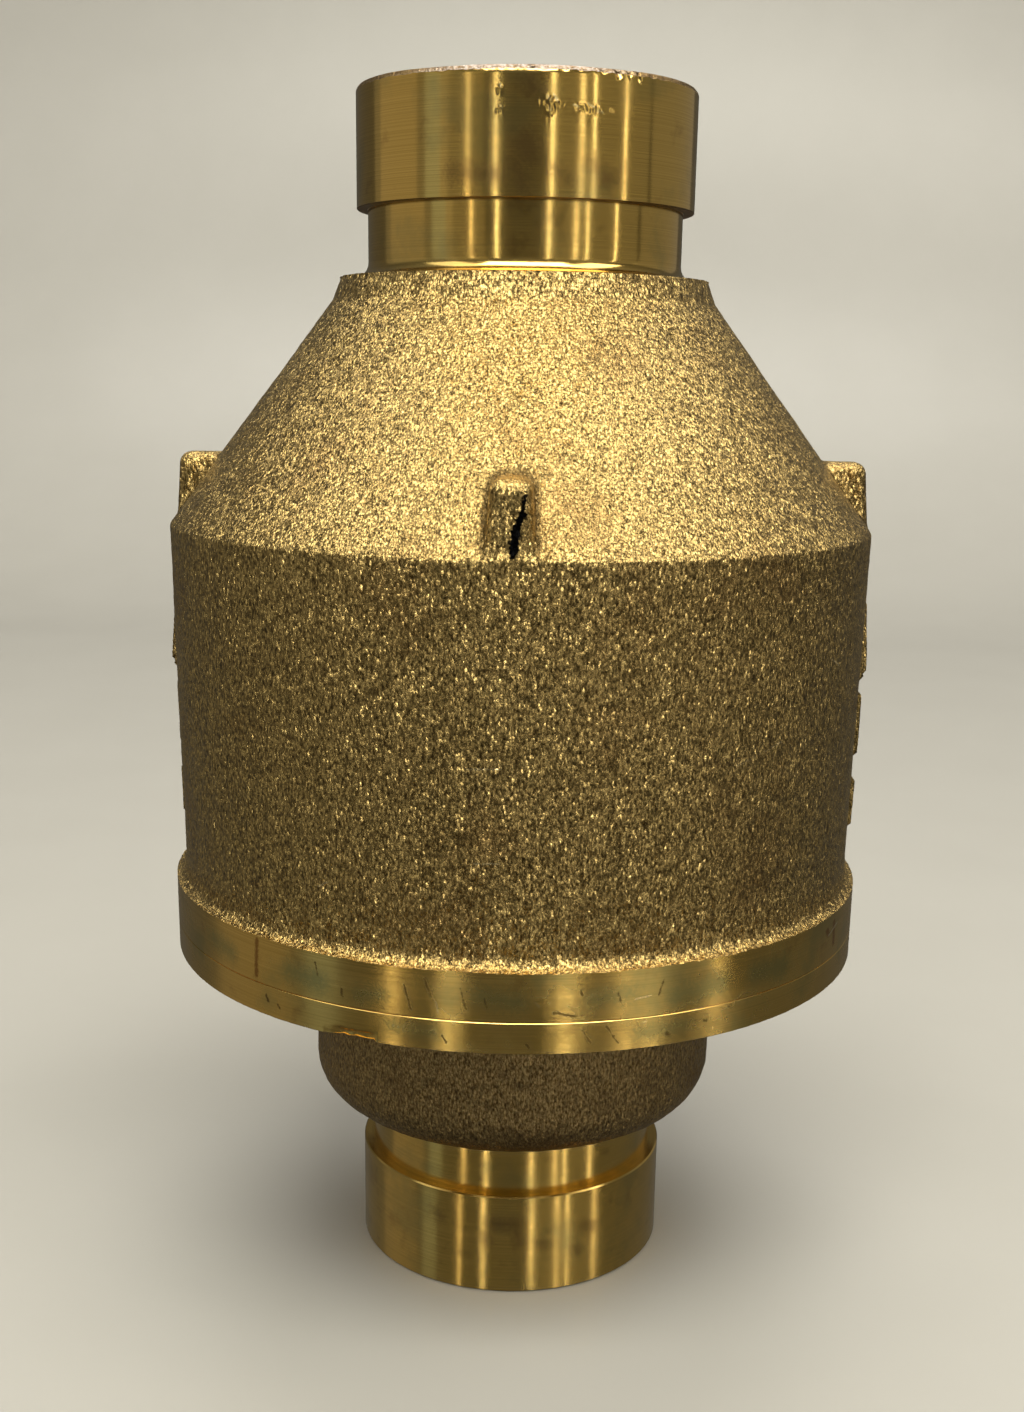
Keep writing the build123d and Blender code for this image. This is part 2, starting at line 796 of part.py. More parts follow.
with BuildPart() as spring:
    spring_length = spring_top - spring_bottom
    wire_rise = spring_length - spring_wire / 2
    wire_start = spring_bottom + spring_wire / 4
    with BuildLine():
        coil = Helix(
            pitch=wire_rise / spring_turns,
            height=wire_rise,
            radius=spring_mean_radius,
            center=(0, 0, wire_start),
        )
    with BuildSketch(Plane(origin=coil @ 0, z_dir=coil % 0)):
        Circle(spring_wire / 2)
    sweep(is_frenet=True)
    with BuildSketch(Plane.XY.offset(spring_bottom)):
        Circle(spring_mean_radius + spring_wire)
    extrude(amount=spring_length, mode=Mode.INTERSECT)
spring.part.label = "spring"

pieces = [
    body,
    inlet_end,
    body_o_ring,
    seat_ring,
    seat_o_ring,
    lower_guide,
    lower_guide_bush,
    upper_guide,
    upper_guide_bush,
    guide_retaining_ring,
    stem,
    disc,
    disc_seal,
    seal_retainer,
    lock_washer,
    stem_nut,
    stop_sleeve,
    stem_circlip,
    lower_spring_seat,
    upper_spring_seat,
    spring,
]

os.makedirs("parts", exist_ok=True)
for piece in pieces:
    export_step(piece.part, f"parts/{piece.part.label}.step")
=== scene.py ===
import json
from math import cos, pi, radians, sin, tan

import bpy
import numpy as np
from mathutils import Matrix, Vector, noise


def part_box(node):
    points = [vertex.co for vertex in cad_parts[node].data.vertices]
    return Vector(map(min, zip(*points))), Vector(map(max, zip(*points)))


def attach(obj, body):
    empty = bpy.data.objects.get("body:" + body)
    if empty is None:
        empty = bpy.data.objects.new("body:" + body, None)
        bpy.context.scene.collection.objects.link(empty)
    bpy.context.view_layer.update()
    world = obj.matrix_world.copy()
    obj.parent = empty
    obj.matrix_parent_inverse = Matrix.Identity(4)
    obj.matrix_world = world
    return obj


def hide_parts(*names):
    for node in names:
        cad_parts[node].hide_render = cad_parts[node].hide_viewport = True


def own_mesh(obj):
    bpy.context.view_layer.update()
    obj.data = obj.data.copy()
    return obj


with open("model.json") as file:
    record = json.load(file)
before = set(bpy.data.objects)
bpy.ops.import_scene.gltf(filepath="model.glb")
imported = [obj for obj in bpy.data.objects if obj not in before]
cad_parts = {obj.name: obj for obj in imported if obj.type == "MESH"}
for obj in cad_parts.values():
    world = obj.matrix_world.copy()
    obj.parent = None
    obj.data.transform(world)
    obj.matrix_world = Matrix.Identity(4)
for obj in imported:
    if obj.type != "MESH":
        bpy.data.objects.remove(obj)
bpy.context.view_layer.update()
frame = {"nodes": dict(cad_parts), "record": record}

# Non-return valve of cast brass with turned ends.
# Shapes are worked out in millimetres and written to meshes in metres.
# An azimuth is in degrees round the flow axis: 0 faces the viewer, 90 faces +X.

MM = 0.001

# Photograph and camera

IMAGE_WIDTH = 1024
IMAGE_HEIGHT = 1412
FOCAL_PIXELS = 1666.4
PRINCIPAL_X = 512
PRINCIPAL_Y = 810
SENSOR = 36.0
CAMERA_PITCH = 14.97
CAMERA_ROLL = 0.868
CAMERA_PLACE = (-0.644, -253.504, 138.421)
CAMERA_AZIMUTH = 1.56

# Levels and radii read from the solids


def node_box(name):
    """Lowest and highest corner of a CAD node in millimetres."""
    low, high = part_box(name)
    return low / MM, high / MM


body_low, body_high = node_box("body")
inlet_low, inlet_high = node_box("inlet_end")
upper_guide_low, upper_guide_high = node_box("upper_guide")
clip_low, clip_high = node_box("guide_retaining_ring")
lower_guide_low, lower_guide_high = node_box("lower_guide")
seat_low, seat_high = node_box("seat_ring")

SEAM = body_low.z
OUTLET = body_high.z
PLATE_RADIUS = inlet_high.x
SPIGOT_TOP = inlet_high.z

# Pipe ends

PIPE_RADIUS = 24.15
BORE_RADIUS = 20.0
GROOVE_RADIUS = 22.55
GASKET_SEAT = 16.1
OUTLET_GROOVE = 9.2
INLET_GROOVE = 8.0
GROOVE_ROOT = 2.0
RIM_CHAMFER = (0.35, 0.6)
EDGE_BREAK = 0.3

# Upper casting

BAND_TOP = SEAM + 6.8
FLARE_TOP = BAND_TOP + 5.3
FLARE_HEIGHT = 1.8
CYLINDER_FOOT_RADIUS = 51.1
SHOULDER_RADIUS = 51.75
SHOULDER = SEAM + 59.3
SHOULDER_ROUND = 0.8
CONE_TOP_RADIUS = 27.7
CONE_TOP = SHOULDER + 31.6
NECK_RADIUS = 26.45
NECK = CONE_TOP + 3.2
OUTLET_BAND = NECK + OUTLET_GROOVE
CONE_WALL = 8.2
CHAMBER_RADIUS = 45.0
CHAMBER_TOP_RADIUS = 43.0
THREAD_RADIUS = 46.1
GUIDE_LEDGE = upper_guide_high.z
CONE_SLOPE = (SHOULDER_RADIUS - CONE_TOP_RADIUS) / (CONE_TOP - SHOULDER)
CYLINDER_DRAFT = (SHOULDER_RADIUS - CYLINDER_FOOT_RADIUS) / (SHOULDER - FLARE_TOP)

# Lower casting

HUB_BOTTOM = GASKET_SEAT + INLET_GROOVE + 0.7
PLATE_BOTTOM = SEAM - 4.3
HUB_RADIUS = 31.5
HUB_ROUND = 7.0
PLATE_ROOT = 1.2
PLATE_CHAMFER = 0.07
SEAM_BREAK = 0.15

# Lugs

LUG_COUNT = 4
LUG_WIDTH = 6.7
LUG_OUTER = SHOULDER_RADIUS - 0.15
LUG_INNER = LUG_OUTER - 13.0
LUG_ROOT = SHOULDER - 1.0
LUG_TOP = SHOULDER + 9.8
LUG_DRAFT = tan(radians(4.0))
LUG_ROUND = 1.6
LUG_FILLET = 0.7
LUG_REACH = 6.4
# Width of the dark band round the lug roots, partly grime and partly painted shade.
GRIME_AND_SHADE_REACH = 0.45

# Flow arrow, raised on +X and -X

ARROW_TIP = SEAM + 48.8
ARROW_HEAD = 10.6
ARROW_WIDTH = 15.0
ARROW_NOTCH = 2.0
BAR_WIDTH = 6.0
BAR_HEIGHT = 9.6
BAR_GAP = 3.4
BAR_COUNT = 2
MARK_RELIEF = 1.0
MARK_FLANK = 0.7
ARROW_REACH = 9.2

# Mesh fineness

COLUMN_STEP = 0.9
FINE_COLUMN_STEP = 0.2
CAST_ROW = 0.75
FINE_ROW = 0.4
TURNED_ROW = 1.5
INNER_ROW = 3.0
SHARP_TURN = 25


# Half sections


def arc(centre, radius, start, end, steps):
    """Points along an arc of a half section, with its angles in degrees from the radius axis."""
    angles = np.radians(np.linspace(start, end, steps + 1))
    return [(centre[0] + radius * cos(a), centre[1] + radius * sin(a)) for a in angles]


def rounded(before, corner, after, radius, steps=4):
    """Points that round a corner of a half section off, tangent to both of its sides."""
    before, corner, after = (np.array(p, float) for p in (before, corner, after))
    into = (before - corner) / np.linalg.norm(before - corner)
    out = (after - corner) / np.linalg.norm(after - corner)
    half = np.arccos(np.clip(into @ out, -1, 1)) / 2
    reach = radius / tan(half)
    centre = corner + (into + out) / np.linalg.norm(into + out) * radius / sin(half)
    points = []
    for step in range(steps + 1):
        share = step / steps
        point = corner + into * reach * (1 - share) + out * reach * share
        away = point - centre
        points.append(tuple(centre + away / np.linalg.norm(away) * radius))
    return points


def half_section(runs):
    """Rows (radius, level, surface) along a closed half section made of runs of corners."""
    rows = []
    for index, (surface, spacing, corners) in enumerate(runs):
        following = runs[(index + 1) % len(runs)][2][0]
        path = [*corners, following]
        for start, end in zip(path, path[1:]):
            start, end = np.array(start, float), np.array(end, float)
            length = np.linalg.norm(end - start)
            count = max(1, round(length / spacing))
            for step in range(count):
                rows.append((*(start + (end - start) * step / count), surface))
    return rows


def upper_casting_section():
    """Half section of the upper casting, up its outside and down its inside."""
    flare_start = CYLINDER_FOOT_RADIUS + 0.1, BAND_TOP + FLARE_HEIGHT
    flare_turn = 2 * np.degrees(np.arctan2(PLATE_RADIUS - flare_start[0], FLARE_HEIGHT))
    flare_radius = FLARE_HEIGHT / sin(radians(flare_turn))
    flare = [
        *arc((flare_start[0] + flare_radius, flare_start[1]), flare_radius, 180 + flare_turn, 180, 7),
        (CYLINDER_FOOT_RADIUS, FLARE_TOP),
    ]
    shoulder = rounded(
        flare[-1],
        (SHOULDER_RADIUS, SHOULDER),
        (CONE_TOP_RADIUS, CONE_TOP),
        SHOULDER_ROUND,
    )
    root = arc((GROOVE_RADIUS + GROOVE_ROOT, NECK + GROOVE_ROOT), GROOVE_ROOT, 270, 180, 6)
    inner_cone_foot = SHOULDER + (SHOULDER_RADIUS - CONE_WALL - CHAMBER_TOP_RADIUS) / CONE_SLOPE
    inner_cone_top = inner_cone_foot + (CHAMBER_TOP_RADIUS - BORE_RADIUS) / CONE_SLOPE
    clip_groove = CHAMBER_RADIUS + 1.6
    thread_end = SPIGOT_TOP + 0.6
    return half_section(
        [
            ("band", TURNED_ROW, [(PLATE_RADIUS - SEAM_BREAK, SEAM), (PLATE_RADIUS, SEAM + SEAM_BREAK)]),
            ("flare", FINE_ROW, [(PLATE_RADIUS, BAND_TOP), *flare[1:-1]]),
            ("cast", CAST_ROW, [flare[-1], (SHOULDER_RADIUS - 3 * CYLINDER_DRAFT, SHOULDER - 3)]),
            ("cast", FINE_ROW, [*shoulder, (SHOULDER_RADIUS - 18 * CONE_SLOPE, SHOULDER + 18)]),
            ("cast", CAST_ROW, [(CONE_TOP_RADIUS + CONE_SLOPE, CONE_TOP - 1)]),
            ("cast", FINE_ROW, [(CONE_TOP_RADIUS, CONE_TOP)]),
            ("collar", TURNED_ROW, [(NECK_RADIUS, NECK), *root]),
            ("collar", TURNED_ROW, [(GROOVE_RADIUS, OUTLET_BAND)]),
            (
                "lip",
                TURNED_ROW,
                [
                    (GROOVE_RADIUS + 0.1, OUTLET_BAND),
                    (PIPE_RADIUS - 0.12, OUTLET_BAND),
                ],
            ),
            ("collar", TURNED_ROW, [(PIPE_RADIUS, OUTLET_BAND + 0.12)]),
            ("collar", FINE_ROW / 2, [(PIPE_RADIUS, OUTLET - 6.4)]),
            (
                "rim",
                FINE_ROW / 2,
                [
                    (PIPE_RADIUS, OUTLET - RIM_CHAMFER[1]),
                    (PIPE_RADIUS - RIM_CHAMFER[0], OUTLET),
                ],
            ),
            (
                "turned",
                INNER_ROW,
                [
                    (BORE_RADIUS + EDGE_BREAK, OUTLET),
                    (BORE_RADIUS, OUTLET - EDGE_BREAK),
                ],
            ),
            (
                "inner",
                INNER_ROW,
                [
                    (BORE_RADIUS, inner_cone_top),
                    (CHAMBER_TOP_RADIUS, inner_cone_foot),
                ],
            ),
            (
                "turned",
                INNER_ROW,
                [
                    (CHAMBER_TOP_RADIUS, GUIDE_LEDGE),
                    (CHAMBER_RADIUS, GUIDE_LEDGE),
                    (CHAMBER_RADIUS, upper_guide_low.z + 1.0),
                    (clip_groove, clip_high.z + 0.0),
                    (clip_groove, clip_low.z),
                    (CHAMBER_RADIUS, clip_low.z),
                    (CHAMBER_RADIUS, thread_end + 0.6),
                    (THREAD_RADIUS, thread_end),
                    (THREAD_RADIUS, SEAM),
                ],
            ),
        ]
    )


def lower_casting_section():
    """Half section of the lower casting, up its outside, over the spigot and down its inside."""
    hub_foot = arc((HUB_RADIUS - HUB_ROUND, HUB_BOTTOM + HUB_ROUND), HUB_ROUND, 270, 360, 10)
    plate_root = arc((HUB_RADIUS + PLATE_ROOT, PLATE_BOTTOM - PLATE_ROOT), PLATE_ROOT, 180, 90, 4)
    spigot = THREAD_RADIUS - 0.1
    ring_low = SEAM + 6.8
    ring_high = ring_low + 3.2
    floor = SEAM + 2.0
    seat_bore = 28.0
    guide_seat = 25.0
    return half_section(
        [
            (
                "foot",
                TURNED_ROW,
                [
                    (PIPE_RADIUS - EDGE_BREAK, 0),
                    (PIPE_RADIUS, EDGE_BREAK),
                    (PIPE_RADIUS, GASKET_SEAT - 0.2),
                    (PIPE_RADIUS - 0.2, GASKET_SEAT),
                    (GROOVE_RADIUS, GASKET_SEAT),
                    (GROOVE_RADIUS, HUB_BOTTOM),
                ],
            ),
            ("hub", CAST_ROW, hub_foot),
            ("turned", TURNED_ROW, [*plate_root]),
            (
                "band",
                FINE_ROW,
                [
                    (PLATE_RADIUS - PLATE_CHAMFER, PLATE_BOTTOM),
                    (PLATE_RADIUS, PLATE_BOTTOM + PLATE_CHAMFER),
                    (PLATE_RADIUS, SEAM - PLATE_CHAMFER),
                    (PLATE_RADIUS - PLATE_CHAMFER, SEAM),
                ],
            ),
            (
                "turned",
                INNER_ROW,
                [
                    (spigot, SEAM),
                    (spigot, ring_low),
                    (spigot - 2.1, ring_low),
                    (spigot - 2.1, ring_high),
                    (spigot, ring_high),
                    (spigot, SPIGOT_TOP - 0.6),
                    (spigot - 0.6, SPIGOT_TOP),
                    (spigot - 5.5, SPIGOT_TOP),
                    (spigot - 5.5, floor),
                    (seat_bore, floor),
                    (seat_bore, lower_guide_high.z),
                    (guide_seat, lower_guide_high.z),
                    (guide_seat, lower_guide_low.z),
                ],
            ),
            (
                "inner",
                INNER_ROW,
                [
                    (22.0, 44.1),
                    (BORE_RADIUS, 30.0),
                ],
            ),
            (
                "turned",
                INNER_ROW,
                [
                    (BORE_RADIUS, EDGE_BREAK),
                    (BORE_RADIUS + EDGE_BREAK, 0),
                ],
            ),
        ]
    )


# Distances to the raised forms


def polygon_distance(x, y, corners):
    """Signed distance to a polygon's outline, negative inside."""
    distance = np.full(x.shape, np.inf)
    inside = np.zeros(x.shape, bool)
    for (ax, ay), (bx, by) in zip(corners, [*corners[1:], corners[0]]):
        ex, ey = bx - ax, by - ay
        share = np.clip(((x - ax) * ex + (y - ay) * ey) / (ex * ex + ey * ey), 0, 1)
        distance = np.minimum(distance, np.hypot(x - ax - ex * share, y - ay - ey * share))
        if ay != by:
            crosses = (ay > y) != (by > y)
            inside ^= crosses & (x < ax + (y - ay) * ex / ey)
    return np.where(inside, -distance, distance)


def arrow_distance(across, level):
    """Signed distance to the flow arrow, in its own flat drawing."""
    base = ARROW_TIP - ARROW_HEAD
    half = ARROW_WIDTH / 2
    head = [(0, ARROW_TIP), (half, base), (0, base + ARROW_NOTCH), (-half, base)]
    distance = polygon_distance(across, level, head)
    for bar in range(BAR_COUNT):
        top = base - BAR_GAP - bar * (BAR_HEIGHT + BAR_GAP)
        side = BAR_WIDTH / 2
        corners = [(-side, top), (side, top), (side, top - BAR_HEIGHT), (-side, top - BAR_HEIGHT)]
        distance = np.minimum(distance, polygon_distance(across, level, corners))
    return distance


def lug_distance(radius, across, level):
    """Signed distance to a drafted lug with rounded edges."""
    taper = np.maximum(level - LUG_ROOT, 0) * LUG_DRAFT
    middle = (LUG_OUTER + LUG_INNER) / 2
    beyond = np.stack(
        [
            np.abs(radius - middle) - (LUG_OUTER - LUG_INNER) / 2 + taper + LUG_ROUND,
            np.abs(across) - LUG_WIDTH / 2 + taper + LUG_ROUND,
            level - LUG_TOP + LUG_ROUND,
            LUG_ROOT + LUG_ROUND - level,
        ]
    )
    outside = np.sqrt((np.maximum(beyond, 0) ** 2).sum(0))
    return outside + np.minimum(beyond.max(0), 0) - LUG_ROUND


def shoulder_distance(radius, level):
    """Signed distance to the cone and cylinder that the lugs stand on."""
    steep = np.hypot(1, CONE_SLOPE)
    cone = (radius - SHOULDER_RADIUS + (level - SHOULDER) * CONE_SLOPE) / steep
    cylinder = radius - SHOULDER_RADIUS - (level - SHOULDER) * CYLINDER_DRAFT
    return np.maximum(cone, cylinder)


def joined(first, second, reach):
    """Smooth union of two distances, with a fillet of about reach."""
    share = np.clip(0.5 + 0.5 * (second - first) / reach, 0, 1)
    return second + (first - second) * share - reach * share * (1 - share)


def lug_heights(radius, level, normal_radius, normal_level, azimuth):
    """How far each point moves along its normal to reach the lug nearest it, and the dark band round its root
    there, partly grime and partly painted shade.
    """
    turn = 360 / LUG_COUNT
    nearest = radians(1) * ((azimuth + turn / 2) % turn - turn / 2)
    height = np.zeros(radius.shape)
    base = shoulder_distance(radius, level)
    for _ in range(40):
        out = radius + normal_radius * height
        up = level + normal_level * height
        lug = lug_distance(out * np.cos(nearest), out * np.sin(nearest), up)
        height -= 0.9 * (joined(shoulder_distance(out, up), lug, LUG_FILLET) - np.minimum(base, 0))
        height = np.maximum(height, 0)
    # Dark band just outside each lug above the shoulder: partly grime, partly painted shade in the root fillet.
    beside = lug_distance(radius * np.cos(nearest), radius * np.sin(nearest), level)
    above = np.clip(level - SHOULDER, 0, 1)
    return height, above * np.exp(-(((beside - GRIME_AND_SHADE_REACH) / GRIME_AND_SHADE_REACH) ** 2))


def mark_heights(radius, level, azimuth):
    """Relief of the flow arrows on +X and -X."""
    nearest = radians(1) * ((azimuth + 180) % 180 - 90)
    depth = -arrow_distance(radius * nearest, level)
    share = np.clip(depth / MARK_FLANK + 0.5, 0, 1)
    return MARK_RELIEF * share * share * (3 - 2 * share)


# Meshes of revolution


def columns(fine_regions):
    """Column azimuths, closer together in the regions (centre, reach)."""
    coarse = np.arange(0, 360, COLUMN_STEP)
    for centre, reach in fine_regions:
        coarse = coarse[np.abs((coarse - centre + 180) % 360 - 180) > reach + COLUMN_STEP / 3]
    fine = [
        centre + np.linspace(-reach, reach, round(2 * reach / FINE_COLUMN_STEP) + 1)
        for centre, reach in fine_regions
    ]
    return np.sort(np.concatenate([coarse, *fine]) % 360)


def field(radius, level, azimuth, size, seed):
    """Smooth noise between about -1 and 1 with features of one size, in millimetres."""
    angle = np.radians(azimuth)
    points = np.stack([radius * np.sin(angle), -radius * np.cos(angle), level], -1)
    flat = points.reshape(-1, 3) / size + np.array([17.3, 9.1, 4.7]) * seed
    return np.array([noise.noise(p) for p in flat]).reshape(radius.shape)


def section_normals(radius, level, cast):
    """Outward directions of a closed half section, along the turned face where cast skin ends."""
    along_radius = np.roll(radius, -1) - np.roll(radius, 1)
    along_level = np.roll(level, -1) - np.roll(level, 1)
    length = np.hypot(along_radius, along_level)
    normals = np.stack([along_level, -along_radius], 1) / length[:, None]
    place = np.stack([radius, level], 1)
    for row in np.nonzero(cast != np.roll(cast, 1))[0]:
        turned_end = row - 1 if cast[row] else (row + 1) % len(radius)
        face = place[turned_end] - place[row]
        face /= np.linalg.norm(face)
        normals[row] = face * (1 if face @ normals[row] > 0 else -1)
    return normals[:, 0], normals[:, 1]


def turning_angle(radius, level):
    """How sharply a closed half section turns at each row, in degrees."""
    before = np.arctan2(level - np.roll(level, 1), radius - np.roll(radius, 1))
    after = np.arctan2(np.roll(level, -1) - level, np.roll(radius, -1) - radius)
    return np.abs(np.degrees((after - before + pi) % (2 * pi) - pi))


def revolved(name, rows, azimuths, reshape, slots):
    """A closed mesh of revolution that reshape() raises, with a material for each surface."""
    radius = np.array([row[0] for row in rows])
    level = np.array([row[1] for row in rows])
    surfaces = np.array([row[2] for row in rows])
    cast = np.isin(surfaces, CAST_SURFACES)
    bare = np.stack([radius, level, *section_normals(radius, level, cast)])
    grid = np.repeat(bare[:, :, None], len(azimuths), 2)
    across = np.repeat(azimuths[None, :], len(rows), 0)
    height, drop, grime_and_shade = reshape(*grid, across, surfaces)
    moved_radius = grid[0] + grid[2] * height
    moved_level = grid[1] + grid[3] * height + drop
    angle = np.radians(across)
    points = np.stack([moved_radius * np.sin(angle), -moved_radius * np.cos(angle), moved_level], -1)
    row_count, column_count = across.shape
    first = np.arange(row_count * column_count).reshape(row_count, column_count)
    right = np.roll(first, -1, 1)
    faces = np.stack([first, right, np.roll(right, -1, 0), np.roll(first, -1, 0)], -1).reshape(-1, 4)
    mesh = bpy.data.meshes.new(name)
    mesh.from_pydata(points.reshape(-1, 3) * MM, [], faces.tolist())
    mesh.polygons.foreach_set("use_smooth", np.ones(len(faces), bool))
    order = list(slots)
    indices = np.repeat([order.index(surface) for surface in surfaces], column_count)
    mesh.polygons.foreach_set("material_index", indices.astype(np.int32))
    for surface in order:
        mesh.materials.append(slots[surface])
    mark_sharp_rows(mesh, turning_angle(radius, level) > SHARP_TURN, column_count)
    # The lugs' dark root band, partly grime and partly painted shade, is kept as a point attribute.
    mesh.attributes.new("grime_and_shade", "FLOAT", "POINT").data.foreach_set("value", grime_and_shade.ravel())
    mesh.update()
    piece = bpy.data.objects.new(name, mesh)
    bpy.context.scene.collection.objects.link(piece)
    return piece


def mark_sharp_rows(mesh, sharp, column_count):
    """Keeps the edge crisp along each row where the section turns sharply."""
    ends = np.empty(len(mesh.edges) * 2, np.int32)
    mesh.edges.foreach_get("vertices", ends)
    row = ends.reshape(-1, 2) // column_count
    crisp = (row[:, 0] == row[:, 1]) & sharp[row[:, 0]]
    attribute = mesh.attributes.new("sharp_edge", "BOOLEAN", "EDGE")
    attribute.data.foreach_set("value", crisp)


def hollow(azimuth, level, place, reach, depth):
    """A smooth hollow at (azimuth, level) that reaches (degrees, millimetres)."""
    across = ((azimuth - place[0] + 180) % 360 - 180) / reach[0]
    share = np.clip(1 - np.hypot(across, (level - place[1]) / reach[1]), 0, 1)
    return depth * share * share * (3 - 2 * share)


# Materials


def on_surface(azimuth, level, radius):
    """Place in metres of a point given by azimuth, level and radius."""
    angle = radians(azimuth)
    return Vector((radius * sin(angle), -radius * cos(angle), level)) * MM


class Graph:
    """A material's node tree. A socket given as a value is linked, and anything else is set."""

    def __init__(self, name):
        self.material = bpy.data.materials.new(name)
        self.material.use_nodes = True
        self.tree = self.material.node_tree
        self.shader = self.tree.nodes["Principled BSDF"]
        self.place = self.node("ShaderNodeTexCoord").outputs["Object"]

    def put(self, socket, value):
        if isinstance(value, bpy.types.NodeSocket):
            self.tree.links.new(value, socket)
        else:
            socket.default_value = value

    def node(self, kind, inputs=None, **settings):
        made = self.tree.nodes.new(kind)
        for key, value in settings.items():
            setattr(made, key, value)
        for key, value in (inputs or {}).items():
            self.put(made.inputs[key], value)
        return made

    def finish(self, **inputs):
        for key, value in inputs.items():
            self.put(self.shader.inputs[key.replace("_", " ").title()], value)
        return self.material

    def vector(self, operation, first, second, output="Vector"):
        inputs = {0: first, 1: second}
        return self.node("ShaderNodeVectorMath", inputs, operation=operation).outputs[output]

    def stretched(self, factors):
        return self.vector("MULTIPLY", self.place, factors)

    def noise(self, size, detail=2.0, roughness=0.5, place=None, distortion=0.0):
        """Noise with features of a size in millimetres."""
        inputs = {
            "Vector": place or self.place,
            "Scale": 1 / (size * MM),
            "Detail": detail,
            "Roughness": roughness,
            "Distortion": distortion,
        }
        return self.node("ShaderNodeTexNoise", inputs).outputs["Fac"]

    def cells(self, size, place=None):
        """Distance from the middle of each grain, for grains with a pitch in millimetres."""
        inputs = {"Vector": place or self.place, "Scale": 1 / (size * MM)}
        return self.node("ShaderNodeTexVoronoi", inputs, feature="F1").outputs["Distance"]

    def math(self, operation, *values, clamp=False):
        inputs = dict(enumerate(values))
        return self.node("ShaderNodeMath", inputs, operation=operation, use_clamp=clamp).outputs[0]

    def between(self, value, low, high, low_out=0.0, high_out=1.0):
        """Value rescaled from low..high to low_out..high_out, and held there."""
        inputs = {
            "Value": value,
            "From Min": low,
            "From Max": high,
            "To Min": low_out,
            "To Max": high_out,
        }
        return self.node("ShaderNodeMapRange", inputs, interpolation_type="SMOOTHSTEP").outputs[0]

    def mix(self, share, first, second):
        made = self.node("ShaderNodeMix", data_type="RGBA")
        self.put(made.inputs["Factor"], share)
        self.put(made.inputs[6], first)
        self.put(made.inputs[7], second)
        return made.outputs[2]

    def bump(self, height, depth, normal=None):
        """Bump with a depth in millimetres."""
        inputs = {"Height": height, "Distance": depth * MM}
        if normal is not None:
            inputs["Normal"] = normal
        return self.node("ShaderNodeBump", inputs).outputs["Normal"]

    def tilted(self, normal, size, place, tilt):
        """Normal tipped a random way on each grain, so that single grains glint."""
        inputs = {"Vector": place, "Scale": 1 / (size * MM)}
        grain = self.node("ShaderNodeTexVoronoi", inputs, feature="F1").outputs["Color"]
        random = self.vector("SUBTRACT", grain, (0.5, 0.5, 0.5))
        lean = self.vector("MULTIPLY", random, (tilt, tilt, tilt))
        return self.vector("NORMALIZE", self.vector("ADD", normal, lean), (0, 0, 0))

    def attribute(self, name):
        return self.node("ShaderNodeAttribute", attribute_name=name).outputs["Fac"]

    def rolled_on(self, radius):
        """The place moved straight out or in to a cylinder round the flow axis."""
        level = self.vector("MULTIPLY", self.place, (0, 0, 1))
        outward = self.vector("NORMALIZE", self.vector("MULTIPLY", self.place, (1, 1, 0)), (0, 0, 0))
        return self.vector("ADD", level, self.vector("MULTIPLY", outward, [radius * MM] * 3))

    def away_from(self, place, start, end):
        """Distance in millimetres of a place from the line between two points."""
        along = end - start
        reach = self.vector("SUBTRACT", place, start)
        share = self.math(
            "DIVIDE",
            self.vector("DOT_PRODUCT", reach, along, "Value"),
            max(along.length_squared, 1e-12),
            clamp=True,
        )
        foot = self.node(
            "ShaderNodeVectorMath", {0: along, "Scale": share}, operation="SCALE"
        ).outputs["Vector"]
        return self.math("DIVIDE", self.vector("DISTANCE", reach, foot, "Value"), MM)

    def marked(self, lines, radius, edge, ragged):
        """Share of a mark made of lines (azimuth, level, azimuth, level, half width)."""
        nearest = None
        place = self.rolled_on(radius)
        for from_azimuth, from_level, to_azimuth, to_level, half_width in lines:
            start = on_surface(from_azimuth, from_level, radius)
            end = on_surface(to_azimuth, to_level, radius)
            outside = self.math("SUBTRACT", self.away_from(place, start, end), half_width)
            nearest = outside if nearest is None else self.math("MINIMUM", nearest, outside)
        uneven = self.math("MULTIPLY", self.math("SUBTRACT", self.noise(0.45, 3.0, 0.65), 0.5), ragged)
        return self.between(self.math("ADD", nearest, uneven), -edge, edge, 1.0, 0.0)

    def with_marks(self, shade, rough, marks):
        """Colour and roughness with marks (lines, radius, edge, ragged, tone, gloss, strength)."""
        for lines, radius, edge, ragged, tone, gloss, strength in marks:
            share = self.math("MULTIPLY", self.marked(lines, radius, edge, ragged), strength)
            shade = self.mix(share, shade, tone)
            kept = self.math("MULTIPLY", rough, self.math("SUBTRACT", 1.0, share))
            rough = self.math("ADD", kept, self.math("MULTIPLY", share, gloss))
        return shade, rough


def colour(red, green, blue):
    return (red, green, blue, 1.0)


